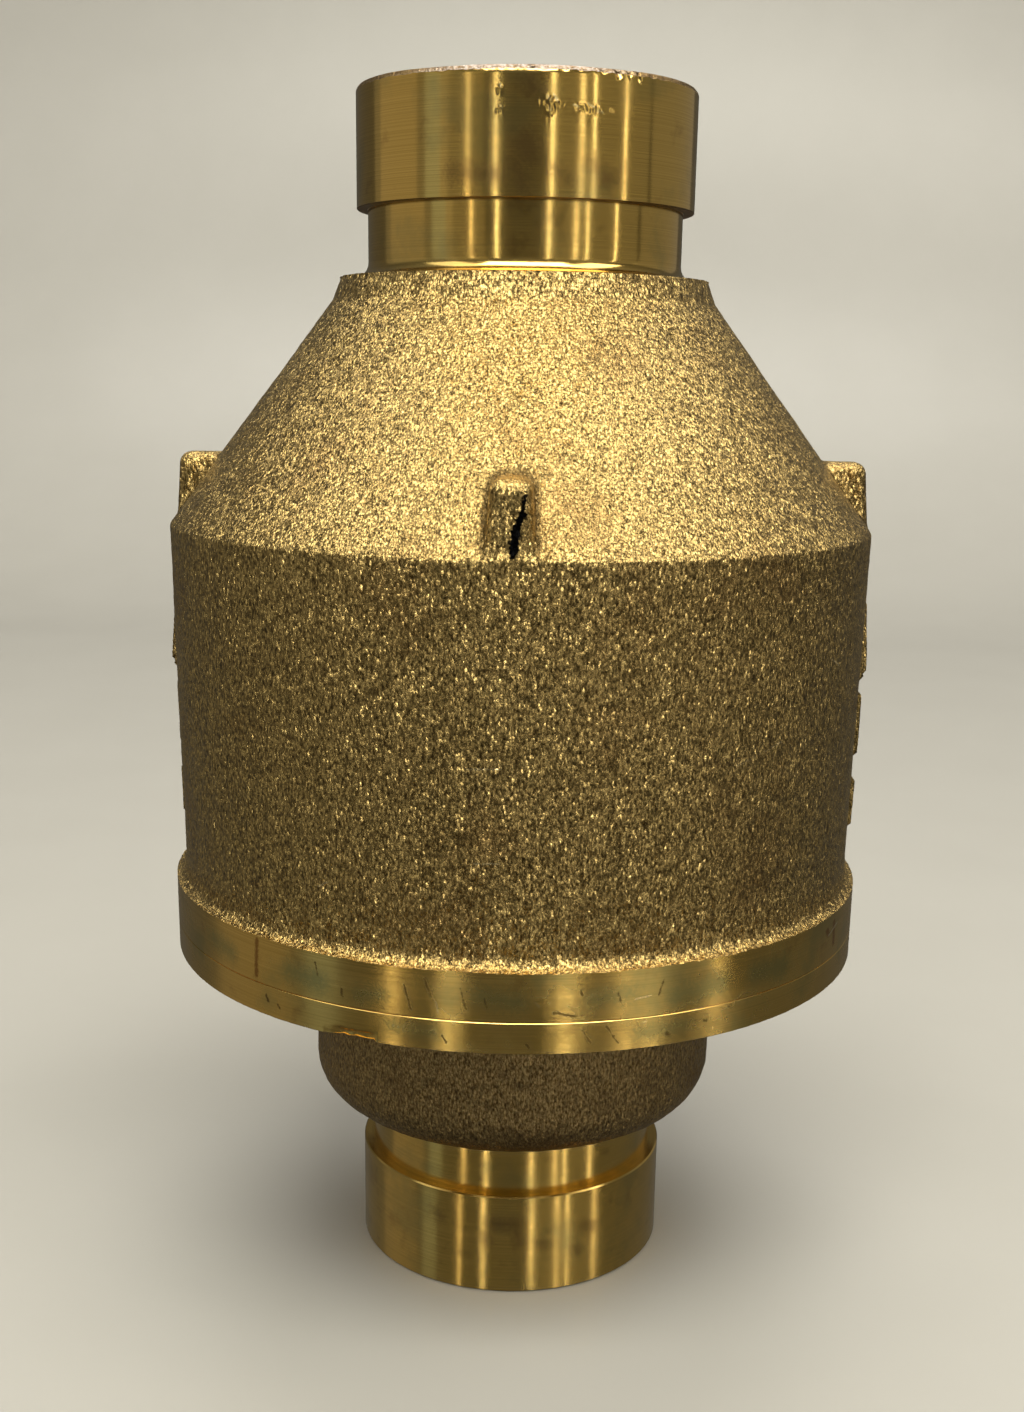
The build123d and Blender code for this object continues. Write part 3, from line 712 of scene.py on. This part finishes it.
def cast_brass(name, tones, roughness, stain_share, glint, marks=()):
    """Sand-cast brass: fine raised grains with dark gaps, brown stains and handling marks."""
    g = Graph(name)
    bright, middle, gap, brown = tones
    place = g.stretched((1.0, 1.0, 0.5))
    grains = g.noise(0.3, 3.0, 0.7, place)
    sand = g.cells(0.3, place)
    fine = g.noise(0.13, 2.0, 0.6)
    lumps = g.noise(1.6, 2.0, 0.5)
    stains = g.noise(17.0, 5.0, 0.62)
    height = g.math("SUBTRACT", grains, g.math("MULTIPLY", sand, 0.35))
    shade = g.mix(g.between(height, 0.12, 0.34), gap, middle)
    shade = g.mix(g.between(height, 0.3, 0.5), shade, bright)
    shade = g.mix(g.between(stains, 0.5, 0.7, 0.0, stain_share), shade, brown)
    # Darkens the cast colour round each lug's root: partly grime, partly painted shade in the fillet.
    shade = g.mix(g.math("MULTIPLY", g.attribute("grime_and_shade"), 0.85), shade, gap)
    rough = g.between(fine, 0.3, 0.7, roughness[0], roughness[1])
    shade, rough = g.with_marks(shade, rough, marks)
    normal = g.bump(lumps, 0.2)
    normal = g.bump(height, 0.2, normal)
    normal = g.tilted(normal, 0.3, place, glint)
    return g.finish(base_color=shade, metallic=1.0, roughness=rough, normal=normal)


def turned_brass(name, tones, roughness, lathe_depth, marks=()):
    """Turned brass: fine lines round the axis, handling marks and faint tarnish."""
    g = Graph(name)
    light, dark, tarnish, brown = tones
    reach = g.vector("MULTIPLY", g.place, (1, 1, 0))
    reach = g.node("ShaderNodeVectorMath", {0: reach}, operation="LENGTH").outputs["Value"]
    split = g.node("ShaderNodeSeparateXYZ", {0: g.place})
    around = g.math("ADD", split.outputs["X"], g.math("MULTIPLY", split.outputs["Y"], 0.7))
    lathe = g.node(
        "ShaderNodeCombineXYZ",
        {0: reach, 1: split.outputs["Z"], 2: g.math("MULTIPLY", around, 0.0012)},
    ).outputs[0]
    lines = g.noise(0.16, 2.0, 0.7, lathe)
    broad = g.noise(1.4, 2.0, 0.5, lathe)
    cloud = g.noise(11.0, 4.0, 0.6)
    film = g.noise(5.0, 4.0, 0.65)
    specks = g.noise(0.9, 3.0, 0.7)
    shade = g.mix(g.between(lines, 0.3, 0.7), dark, light)
    shade = g.mix(g.between(cloud, 0.48, 0.72, 0.0, 0.6), shade, tarnish)
    shade = g.mix(g.between(film, 0.56, 0.72, 0.0, 0.4), shade, brown)
    shade = g.mix(g.between(specks, 0.7, 0.78, 0.0, 0.6), shade, brown)
    rough = g.between(cloud, 0.35, 0.65, roughness[0], roughness[1])
    shade, rough = g.with_marks(shade, rough, marks)
    normal = g.bump(lines, lathe_depth)
    normal = g.bump(broad, lathe_depth * 1.5, normal)
    normal = g.bump(film, 0.012, normal)
    g.shader.inputs["Anisotropic"].default_value = 0.6
    g.shader.inputs["Anisotropic Rotation"].default_value = 0.25
    tangent = g.node("ShaderNodeTangent", direction_type="RADIAL", axis="Z")
    g.put(g.shader.inputs["Tangent"], tangent.outputs[0])
    return g.finish(base_color=shade, metallic=1.0, roughness=rough, normal=normal)


def filed_rim_painted_highlight(name):
    """Rough edge of the pipe end, cut by the saw and hardly dressed; its front part is made pale by a painted
    highlight.
    """
    g = Graph(name)
    place = g.stretched((1.0, 1.0, 0.35))
    teeth = g.noise(0.45, 3.0, 0.65, place)
    fine = g.noise(0.2, 2.0, 0.6)
    # Painted highlight: the rim is pale on its front, the part that faces the camera, and brown elsewhere.
    front = g.node("ShaderNodeSeparateXYZ", {0: g.place}).outputs["Y"]
    bright = g.mix(g.between(front, -23 * MM, -18 * MM), colour(0.52, 0.44, 0.38), colour(0.34, 0.23, 0.09))
    shade = g.mix(g.between(teeth, 0.35, 0.65), colour(0.24, 0.15, 0.07), bright)
    normal = g.bump(teeth, 0.3)
    normal = g.bump(fine, 0.05, normal)
    return g.finish(base_color=shade, metallic=1.0, roughness=g.between(fine, 0.3, 0.7, 0.22, 0.4),
                    normal=normal)


def drawn_steel(name):
    """Stainless steel with fine drawing lines."""
    g = Graph(name)
    lines = g.noise(0.25, 2.0, 0.6, g.stretched((1, 1, 8)))
    shade = g.mix(lines, colour(0.42, 0.42, 0.41), colour(0.6, 0.6, 0.58))
    return g.finish(base_color=shade, metallic=1.0, roughness=g.between(lines, 0.3, 0.7, 0.22, 0.38),
                    normal=g.bump(lines, 0.01))


def moulded_rubber(name):
    """Black seal rubber with a dull bloom."""
    g = Graph(name)
    grain = g.noise(0.5, 3.0, 0.6)
    bloom = g.noise(6.0, 3.0, 0.6)
    shade = g.mix(g.between(bloom, 0.4, 0.7), colour(0.012, 0.012, 0.012), colour(0.035, 0.035, 0.034))
    return g.finish(base_color=shade, roughness=g.between(grain, 0.3, 0.7, 0.5, 0.75), normal=g.bump(grain, 0.02))


def machined_plastic(name):
    """Off-white bearing plastic with faint machining lines."""
    g = Graph(name)
    lines = g.noise(0.3, 2.0, 0.6, g.stretched((1, 1, 6)))
    shade = g.mix(lines, colour(0.62, 0.6, 0.53), colour(0.76, 0.74, 0.68))
    return g.finish(base_color=shade, roughness=g.between(lines, 0.3, 0.7, 0.35, 0.5), normal=g.bump(lines, 0.01))


# The two castings


def cast_skin(radius, level, azimuth, cast):
    """Uneven skin of a sand casting, as a height over the drawn surface."""
    skin = np.zeros(radius.shape)
    place = radius[cast], level[cast], azimuth[cast]
    skin[cast] = 0.06 * field(*place, 1.9, 1) + 0.1 * field(*place, 7.0, 2)
    return skin


def ragged_ends(radius, level, azimuth, cast_rows):
    """How far the cast skin's ends wander along the turned faces that cut them."""
    wander = np.zeros(radius.shape)
    ends = cast_rows != np.roll(cast_rows, 1)
    reach = np.where(level[ends] > SHOULDER, 0.4, 0.12)
    wander[ends] = reach * field(radius[ends], level[ends], azimuth[ends], 0.9, 3)
    return wander


def reshape_upper(radius, level, normal_radius, normal_level, azimuth, surfaces):
    """Raises lugs and arrows on the upper casting, roughens its skin and chips its rim."""
    cast_rows = np.isin(surfaces, CAST_SURFACES)
    cast = np.repeat(cast_rows[:, None], radius.shape[1], 1)
    lug_zone = cast & (level > LUG_ROOT - 2.5) & (level < SHOULDER + 20)
    lugs = np.zeros(radius.shape)
    picked = [v[lug_zone] for v in (radius, level, normal_radius, normal_level, azimuth)]
    grime_and_shade = np.zeros(radius.shape)
    lugs[lug_zone], grime_and_shade[lug_zone] = lug_heights(*picked)
    height = lugs.copy()
    mark_zone = cast & (level > FLARE_TOP + 2) & (level < SHOULDER - 2)
    height[mark_zone] += mark_heights(radius[mark_zone], level[mark_zone], azimuth[mark_zone])
    height += cast_skin(radius, level, azimuth, cast)
    height += ragged_ends(radius, level, azimuth, cast_rows)
    on_collar = (level > OUTLET - 6.5) & (radius > PIPE_RADIUS - 0.7)
    place = radius[on_collar], level[on_collar], azimuth[on_collar]
    dented = np.zeros(place[0].shape)
    for middle, reach, depth in RIM_CHIPS:
        height[on_collar] -= hollow(place[2], place[1], middle, reach, depth)
    for middle, reach in COLLAR_DENTS:
        dented = np.maximum(dented, hollow(place[2], place[1], middle, reach, 1.0))
    height[on_collar] += DENT_DEPTH * dented * field(*place, 0.55, 9)
    rim = (surfaces == "rim") & (level[:, 0] > OUTLET - 1.3) & (level[:, 0] < OUTLET - 0.05)
    drop = np.zeros(radius.shape)
    drop[rim] = 0.16 * field(radius[rim], level[rim], azimuth[rim], 0.8, 5)
    return height, drop, grime_and_shade


def reshape_lower(radius, level, normal_radius, normal_level, azimuth, surfaces):
    """Roughens the cast hub of the lower casting and nicks the plate's lower edge."""
    cast_rows = np.isin(surfaces, CAST_SURFACES)
    cast = np.repeat(cast_rows[:, None], radius.shape[1], 1)
    height = cast_skin(radius, level, azimuth, cast)
    height += ragged_ends(radius, level, azimuth, cast_rows)
    edge = (radius > PLATE_RADIUS - 1.0) & (np.abs(level - PLATE_BOTTOM) < 1.2)
    across = (azimuth + 180) % 360 - 180
    place = radius[edge], level[edge], azimuth[edge]
    inside = np.clip((across[edge] - NICK_START) / 3.5, 0, 1) * np.clip((NICK_END - across[edge]) / 0.6, 0, 1)
    height[edge] -= NICK_DEPTH * inside * (1 + 0.5 * field(*place, 1.4, 6))
    drop = np.zeros(radius.shape)
    drop[edge] = NICK_RISE * inside * (1 + 0.6 * field(*place, 1.0, 7)) + 0.05 * field(*place, 0.7, 8)
    return height, drop, np.zeros(radius.shape)


CAST_SURFACES = ("cast", "flare", "hub")
RIM_CHIPS = (
    ((25.5, OUTLET - 0.2), (1.6, 0.7), 0.35),
    ((31.0, OUTLET - 0.5), (1.9, 1.0), 0.5),
    ((35.0, OUTLET - 0.3), (1.3, 0.8), 0.4),
    ((38.6, OUTLET - 0.7), (1.1, 1.0), 0.35),
    ((-14.0, OUTLET - 0.1), (1.4, 0.4), 0.25),
    ((3.0, OUTLET - 0.1), (1.8, 0.4), 0.25),
    ((0.0, OUTLET), (48.0, 1.1), 0.32),
)
COLLAR_DENTS = (
    ((-6.9, OUTLET - 3.2), (1.9, 0.8)),
    ((-6.6, OUTLET - 5.6), (2.4, 0.8)),
    ((7.6, OUTLET - 4.6), (3.6, 1.2)),
    ((9.6, OUTLET - 4.8), (4.4, 0.9)),
    ((8.2, OUTLET - 5.8), (2.6, 0.7)),
    ((18.0, OUTLET - 5.0), (3.4, 0.6)),
    ((23.0, OUTLET - 5.3), (4.6, 0.6)),
    ((28.4, OUTLET - 5.1), (2.2, 0.5)),
)
DENT_DEPTH = 0.14
NICK_START = -27.4
NICK_END = -18.45
NICK_DEPTH = 0.2
NICK_RISE = 0.28

BLACK_INK = colour(0.004, 0.004, 0.004)
DARK_MARK = colour(0.09, 0.05, 0.02)
BARE_METAL = colour(0.95, 0.76, 0.42)

PEN_STREAK = (
    [(1.95, 123.2, 1.7, 121.0, 0.3), (1.7, 121.0, 0.8, 119.4, 0.5), (0.8, 119.4, 0.5, 116.4, 0.6)],
    SHOULDER_RADIUS, 0.12, 1.3, BLACK_INK, 0.45, 1.0,
)
SKIN_SCRATCHES = (
    [(35.25, 88.45, 44.24, 90.63, 0.1), (-5.53, 89.43, -0.91, 89.58, 0.09), (-4.45, 77.09, -0.89, 77.21, 0.09),
     (57.0, 100.4, 60.0, 99.2, 0.08), (-29.0, 71.6, -27.4, 72.4, 0.08)],
    51.5, 0.1, 0.35, BARE_METAL, 0.18, 0.9,
)
SKIN_SPOTS = (
    [(-5.23, 86.4, -5.1, 84.4, 0.16), (61.0, 76.4, 61.1, 75.0, 0.25), (-22.0, 74.6, -21.4, 74.0, 0.2)],
    51.4, 0.2, 0.6, DARK_MARK, 0.5, 0.9,
)

cast_upper = cast_brass(
    "cast_brass_upper",
    (colour(0.88, 0.64, 0.25), colour(0.5, 0.35, 0.13), colour(0.13, 0.085, 0.03), colour(0.3, 0.18, 0.065)),
    (0.2, 0.34),
    0.5,
    0.7,
    (SKIN_SCRATCHES, SKIN_SPOTS, PEN_STREAK),
)
cast_lower = cast_brass(
    "cast_brass_lower",
    (colour(0.62, 0.45, 0.2), colour(0.44, 0.3, 0.13), colour(0.2, 0.13, 0.05), colour(0.24, 0.14, 0.055)),
    (0.3, 0.5),
    0.5,
    0.6,
)

PIPE_BROWN = colour(0.44, 0.26, 0.08)
GREEN_FILM = colour(0.4, 0.36, 0.14)
# Dark brown painted shade for the downward face of the lip under the outlet band.
LIP_PAINTED_SHADE = colour(0.2, 0.13, 0.05)
BAND_FILM = (
    [(-33.0, 59.4, -28.0, 59.0, 1.4), (-21.0, 58.2, -18.0, 58.8, 0.9), (-16.4, 54.6, -10.0, 54.4, 0.8),
     (-3.0, 59.8, 2.0, 59.0, 1.2), (13.0, 59.4, 18.0, 59.8, 1.0), (26.0, 58.6, 33.0, 59.2, 1.5),
     (40.0, 59.4, 46.0, 59.0, 1.6), (-52.0, 59.4, -47.0, 59.0, 1.2), (20.0, 54.0, 27.0, 54.2, 0.8)],
    PLATE_RADIUS, 1.6, 3.2, GREEN_FILM, 0.3, 0.75,
)
BAND_DRIPS = (
    [(-40.3, 62.2, -40.6, 57.2, 0.35), (62.6, 61.4, 62.9, 58.3, 0.5), (59.6, 60.8, 60.4, 60.2, 0.5)],
    PLATE_RADIUS, 0.25, 0.9, colour(0.3, 0.13, 0.03), 0.4, 0.8,
)
BAND_SCRATCHES = (
    [(-14.2, 60.4, -13.8, 59.1, 0.09), (-13.8, 59.1, -13.2, 57.2, 0.08), (-11.2, 61.6, -10.2, 59.2, 0.12),
     (-6.0, 60.6, -5.3, 58.0, 0.08), (-28.6, 61.4, -28.2, 59.8, 0.08), (-24.1, 58.6, -24.0, 57.6, 0.14),
     (-2.6, 59.4, -2.3, 58.3, 0.08), (16.4, 60.0, 16.9, 58.6, 0.07), (23.4, 61.0, 22.6, 59.0, 0.09),
     (7.2, 57.6, 10.4, 57.0, 0.12), (10.9, 60.4, 11.3, 59.9, 0.14), (-8.6, 53.9, -8.0, 53.0, 0.1),
     (11.4, 55.0, 12.6, 53.2, 0.08), (14.8, 55.4, 16.6, 52.9, 0.1), (3.4, 53.2, 3.7, 52.8, 0.14),
     (24.2, 53.4, 24.5, 53.2, 0.22), (30.4, 54.4, 30.8, 54.2, 0.2), (-38.4, 54.6, -38.0, 54.0, 0.22),
     (-36.0, 53.9, -35.7, 53.6, 0.2)],
    PLATE_RADIUS, 0.12, 0.75, DARK_MARK, 0.4, 0.75,
)
BAND_SCRAPE = (
    [(60.4, 60.0, 64.2, 61.0, 0.18), (19.0, 58.8, 21.5, 59.1, 0.06), (-9.6, 58.6, -9.2, 57.0, 0.08),
     (4.6, 59.0, 5.2, 58.4, 0.08), (28.6, 56.2, 30.0, 56.4, 0.1), (20.4, 55.4, 20.8, 55.5, 0.1)],
    PLATE_RADIUS, 0.1, 0.35, BARE_METAL, 0.15, 0.8,
)
COLLAR_DINGS = (
    [(-6.9, 173.0, -6.9, 172.6, 0.1), (-6.6, 170.4, -6.2, 170.3, 0.1), (7.6, 171.6, 8.2, 171.3, 0.15),
     (9.6, 171.8, 10.6, 171.2, 0.12), (8.0, 170.3, 8.6, 170.1, 0.1), (15.6, 170.8, 17.2, 170.6, 0.08),
     (20.4, 171.0, 22.4, 170.6, 0.08), (23.6, 170.2, 25.6, 170.0, 0.08)],
    PIPE_RADIUS, 0.1, 0.8, BARE_METAL, 0.3, 0.7,
)
COLLAR_SMUDGES = (
    [(-22.0, 162.6, -8.0, 162.2, 1.0), (-2.0, 163.4, 0.4, 161.0, 0.9), (10.0, 163.0, 14.0, 161.8, 0.6),
     (1.0, 166.0, 2.0, 165.0, 1.6), (2.0, 173.4, 5.0, 172.0, 0.7), (22.0, 164.0, 27.0, 162.0, 0.6)],
    PIPE_RADIUS, 1.5, 3.0, colour(0.34, 0.2, 0.08), 0.22, 0.6,
)
FOOT_SMUDGES = (
    [(-5.0, 11.6, 4.0, 11.6, 1.0), (-7.4, 9.6, -7.0, 8.6, 0.7), (3.6, 10.6, 5.6, 8.6, 0.6),
     (12.6, 8.2, 14.2, 7.8, 0.7), (30.0, 10.0, 33.0, 9.6, 1.0), (26.4, 6.4, 27.4, 6.0, 0.7),
     (-26.0, 12.0, -25.0, 11.4, 0.6), (-16.0, 6.2, -15.0, 6.0, 0.4)],
    PIPE_RADIUS, 1.2, 2.2, colour(0.3, 0.17, 0.07), 0.28, 0.5,
)

TURNED_TONES = (colour(0.88, 0.6, 0.18), colour(0.72, 0.48, 0.13), colour(0.5, 0.4, 0.15), PIPE_BROWN)
collar_brass = turned_brass(
    "turned_brass_collar", TURNED_TONES, (0.13, 0.18), 0.002, (COLLAR_SMUDGES, COLLAR_DINGS)
)
foot_brass = turned_brass("turned_brass_foot", TURNED_TONES, (0.16, 0.22), 0.002, (FOOT_SMUDGES,))
band_brass = turned_brass(
    "turned_brass_band",
    (*TURNED_TONES[:2], GREEN_FILM, PIPE_BROWN),
    (0.2, 0.3),
    0.002,
    (BAND_FILM, BAND_DRIPS, BAND_SCRATCHES, BAND_SCRAPE),
)
turned = turned_brass("turned_brass", TURNED_TONES, (0.2, 0.3), 0.004)
# The lip under the outlet band faces down and is coloured dark brown as painted shade.
lip = turned_brass("turned_brass_lip_painted_shade", (LIP_PAINTED_SHADE, LIP_PAINTED_SHADE, DARK_MARK, DARK_MARK), (0.4, 0.5), 0.004)
rim = filed_rim_painted_highlight("filed_rim_painted_highlight")
steel = drawn_steel("stainless_steel")
rubber = moulded_rubber("seal_rubber")
plastic = machined_plastic("bush_plastic")

upper_columns = columns(
    [(14, 26), (90, ARROW_REACH), (180, LUG_REACH), (270, ARROW_REACH)]
)
upper = revolved(
    "upper_casting",
    upper_casting_section(),
    upper_columns,
    reshape_upper,
    {
        "cast": cast_upper,
        "flare": cast_upper,
        "band": band_brass,
        "collar": collar_brass,
        "lip": lip,
        "rim": rim,
        "turned": turned,
        "inner": cast_lower,
    },
)
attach(upper, "valve_body")
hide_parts("body")

lower = revolved(
    "lower_casting",
    lower_casting_section(),
    columns([(337, 6)]),
    reshape_lower,
    {"hub": cast_lower, "band": band_brass, "foot": foot_brass, "turned": turned, "inner": cast_lower},
)
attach(lower, "valve_body")
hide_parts("inlet_end")

# Closing spring, on its own copy of the mesh in steel

spring = frame["nodes"]["spring"]
coil = bpy.data.objects.new("closing_spring", spring.data.copy())
coil.data.materials.clear()
coil.data.materials.append(steel)
bpy.context.scene.collection.objects.link(coil)
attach(coil, "valve_body")
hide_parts("spring")
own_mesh(coil)

# Finishes of the pieces inside

FINISHES = {
    "turned_brass": turned,
    "stainless_steel": steel,
    "seal_rubber": rubber,
    "bush_plastic": plastic,
}
slot_of = {part["node"]: part["material_slot"] for part in frame["record"]["subparts"]}
for name, node in frame["nodes"].items():
    if slot_of[name] in FINISHES:
        node.data.materials.clear()
        node.data.materials.append(FINISHES[slot_of[name]])

# Floor, lights and camera


def plain_stage():
    """Pale floor that turns up into a wall behind the valve."""
    half_width, front, bend, wall = 4000.0, -4000.0, 620.0, 2600.0
    bend_radius = 420.0
    path = [(front, 0.0), (bend, 0.0)]
    path += [
        (bend + bend_radius * sin(radians(a)), bend_radius * (1 - cos(radians(a))))
        for a in range(10, 91, 10)
    ]
    path.append((bend + bend_radius, wall))
    vertices = [(x, y, z) for y, z in path for x in (-half_width, half_width)]
    faces = [(2 * i, 2 * i + 1, 2 * i + 3, 2 * i + 2) for i in range(len(path) - 1)]
    mesh = bpy.data.meshes.new("floor")
    mesh.from_pydata(np.array(vertices) * MM, [], faces)
    mesh.polygons.foreach_set("use_smooth", [True] * len(faces))
    g = Graph("pale_floor")
    speckle = g.noise(40.0, 3.0, 0.5)
    shade = g.mix(speckle, colour(0.43, 0.42, 0.39), colour(0.46, 0.45, 0.42))
    mesh.materials.append(g.finish(base_color=shade, roughness=0.35))
    floor = bpy.data.objects.new("floor", mesh)
    bpy.context.scene.collection.objects.link(floor)
    floor.visible_glossy = False


def soft_light(name, azimuth, elevation, distance, size, power, tint=(1, 1, 1)):
    """Rectangular soft light that faces the middle of the valve; power in watts, size in millimetres."""
    lamp = bpy.data.lights.new(name, "AREA")
    lamp.shape = "RECTANGLE"
    lamp.size, lamp.size_y = size[0] * MM, size[1] * MM
    lamp.energy = power
    lamp.color = tint
    light = bpy.data.objects.new(name, lamp)
    bpy.context.scene.collection.objects.link(light)
    a, e = radians(azimuth), radians(elevation)
    away = Vector((sin(a) * cos(e), -cos(a) * cos(e), sin(e)))
    target = Vector((0, 0, OUTLET / 2 * MM))
    light.location = target + away * distance * MM
    light.rotation_euler = away.to_track_quat("Z", "Y").to_euler()
    light.visible_camera = False


def grey_room():
    """World light: pale walls and ceiling, and a darker lower half."""
    world = bpy.data.worlds.new("room")
    bpy.context.scene.world = world
    world.use_nodes = True
    tree = world.node_tree
    place = tree.nodes.new("ShaderNodeTexCoord")
    split = tree.nodes.new("ShaderNodeSeparateXYZ")
    ramp = tree.nodes.new("ShaderNodeValToRGB")
    scale = tree.nodes.new("ShaderNodeMapRange")
    scale.inputs["From Min"].default_value = -1
    tree.links.new(place.outputs["Generated"], split.inputs[0])
    tree.links.new(split.outputs["Z"], scale.inputs["Value"])
    tree.links.new(scale.outputs[0], ramp.inputs[0])
    tree.links.new(ramp.outputs[0], tree.nodes["Background"].inputs["Color"])
    stops = [(0.0, 0.05), (0.22, 0.12), (0.34, 0.09), (0.46, 0.07), (0.55, 0.085), (0.75, 0.1), (1.0, 0.3)]
    for index, (where, value) in enumerate(stops):
        stop = ramp.color_ramp.elements[index] if index < 2 else ramp.color_ramp.elements.new(where)
        stop.position = where
        stop.color = colour(value, value * 0.95, value * 0.8)
    tree.nodes["Background"].inputs["Strength"].default_value = 1.0


def photo_camera():
    """Camera at the photograph's place, with its framing and its plain rendering of colour."""
    lens = bpy.data.cameras.new("camera")
    camera = bpy.data.objects.new("camera", lens)
    bpy.context.scene.collection.objects.link(camera)
    longest = max(IMAGE_WIDTH, IMAGE_HEIGHT)
    lens.sensor_width = SENSOR
    lens.lens = FOCAL_PIXELS / longest * SENSOR
    lens.shift_x = (IMAGE_WIDTH / 2 - PRINCIPAL_X) / longest
    lens.shift_y = (PRINCIPAL_Y - IMAGE_HEIGHT / 2) / longest
    lens.clip_start, lens.clip_end = 0.01, 100
    turn = Matrix.Rotation(radians(CAMERA_AZIMUTH), 4, "Z")
    pitch = Matrix.Rotation(radians(90 - CAMERA_PITCH), 4, "X")
    roll = Matrix.Rotation(radians(CAMERA_ROLL), 4, "Z")
    camera.matrix_world = turn @ Matrix.Translation(Vector(CAMERA_PLACE) * MM) @ pitch @ roll
    bpy.context.scene.camera = camera
    bpy.context.scene.view_settings.view_transform = "Standard"


plain_stage()
grey_room()
photo_camera()
soft_light("ceiling_front", 3, 62, 1500, (1200, 700), 23.5, (1, 0.97, 0.86))
soft_light("ceiling_left", -70, 55, 1600, (700, 900), 3.5, (1, 0.95, 0.85))
soft_light("ceiling_right", 70, 55, 1600, (700, 900), 8, (1, 0.95, 0.85))
soft_light("ceiling_back", 180, 60, 1600, (1300, 700), 12, (1, 0.97, 0.9))
soft_light("fill_left", -85, 16, 1500, (2000, 750), 0.5, (1, 0.93, 0.78))
soft_light("fill_left_near", -42, 16, 1500, (800, 750), 0.26, (1, 0.9, 0.68))
soft_light("fill_right", 53, 16, 1500, (2180, 750), 0.6, (1, 0.93, 0.78))
soft_light("fill_right_far", 120, 16, 1500, (1600, 750), 0.5, (1, 0.93, 0.78))
soft_light("fill_low", 45, -30, 1200, (1100, 400), 0.1, (1, 0.93, 0.78))
soft_light("strip_left_gold", -93, -5, 1400, (940, 1500), 0.5, (1, 0.82, 0.55))
soft_light("strip_left_grey", -62.5, -5, 1400, (290, 1500), 0.26, (0.7, 0.9, 1))
soft_light("strip_left_soft", -37, -5, 1400, (36, 1500), 0.45, (1, 0.88, 0.68))
soft_light("strip_left", -18.5, -5, 1400, (26, 1500), 0.7, (1, 0.95, 0.82))
soft_light("strip_right", 18, -5, 1400, (26, 1500), 0.75, (1, 0.95, 0.82))
soft_light("strip_right_soft", 37.5, -5, 1400, (80, 1500), 0.6, (1, 0.92, 0.78))
soft_light("strip_right_bright", 46, -5, 1400, (26, 1500), 0.55, (1, 0.95, 0.82))
soft_light("strip_right_far", 69, -5, 1400, (24, 1500), 0.55, (1, 0.92, 0.78))
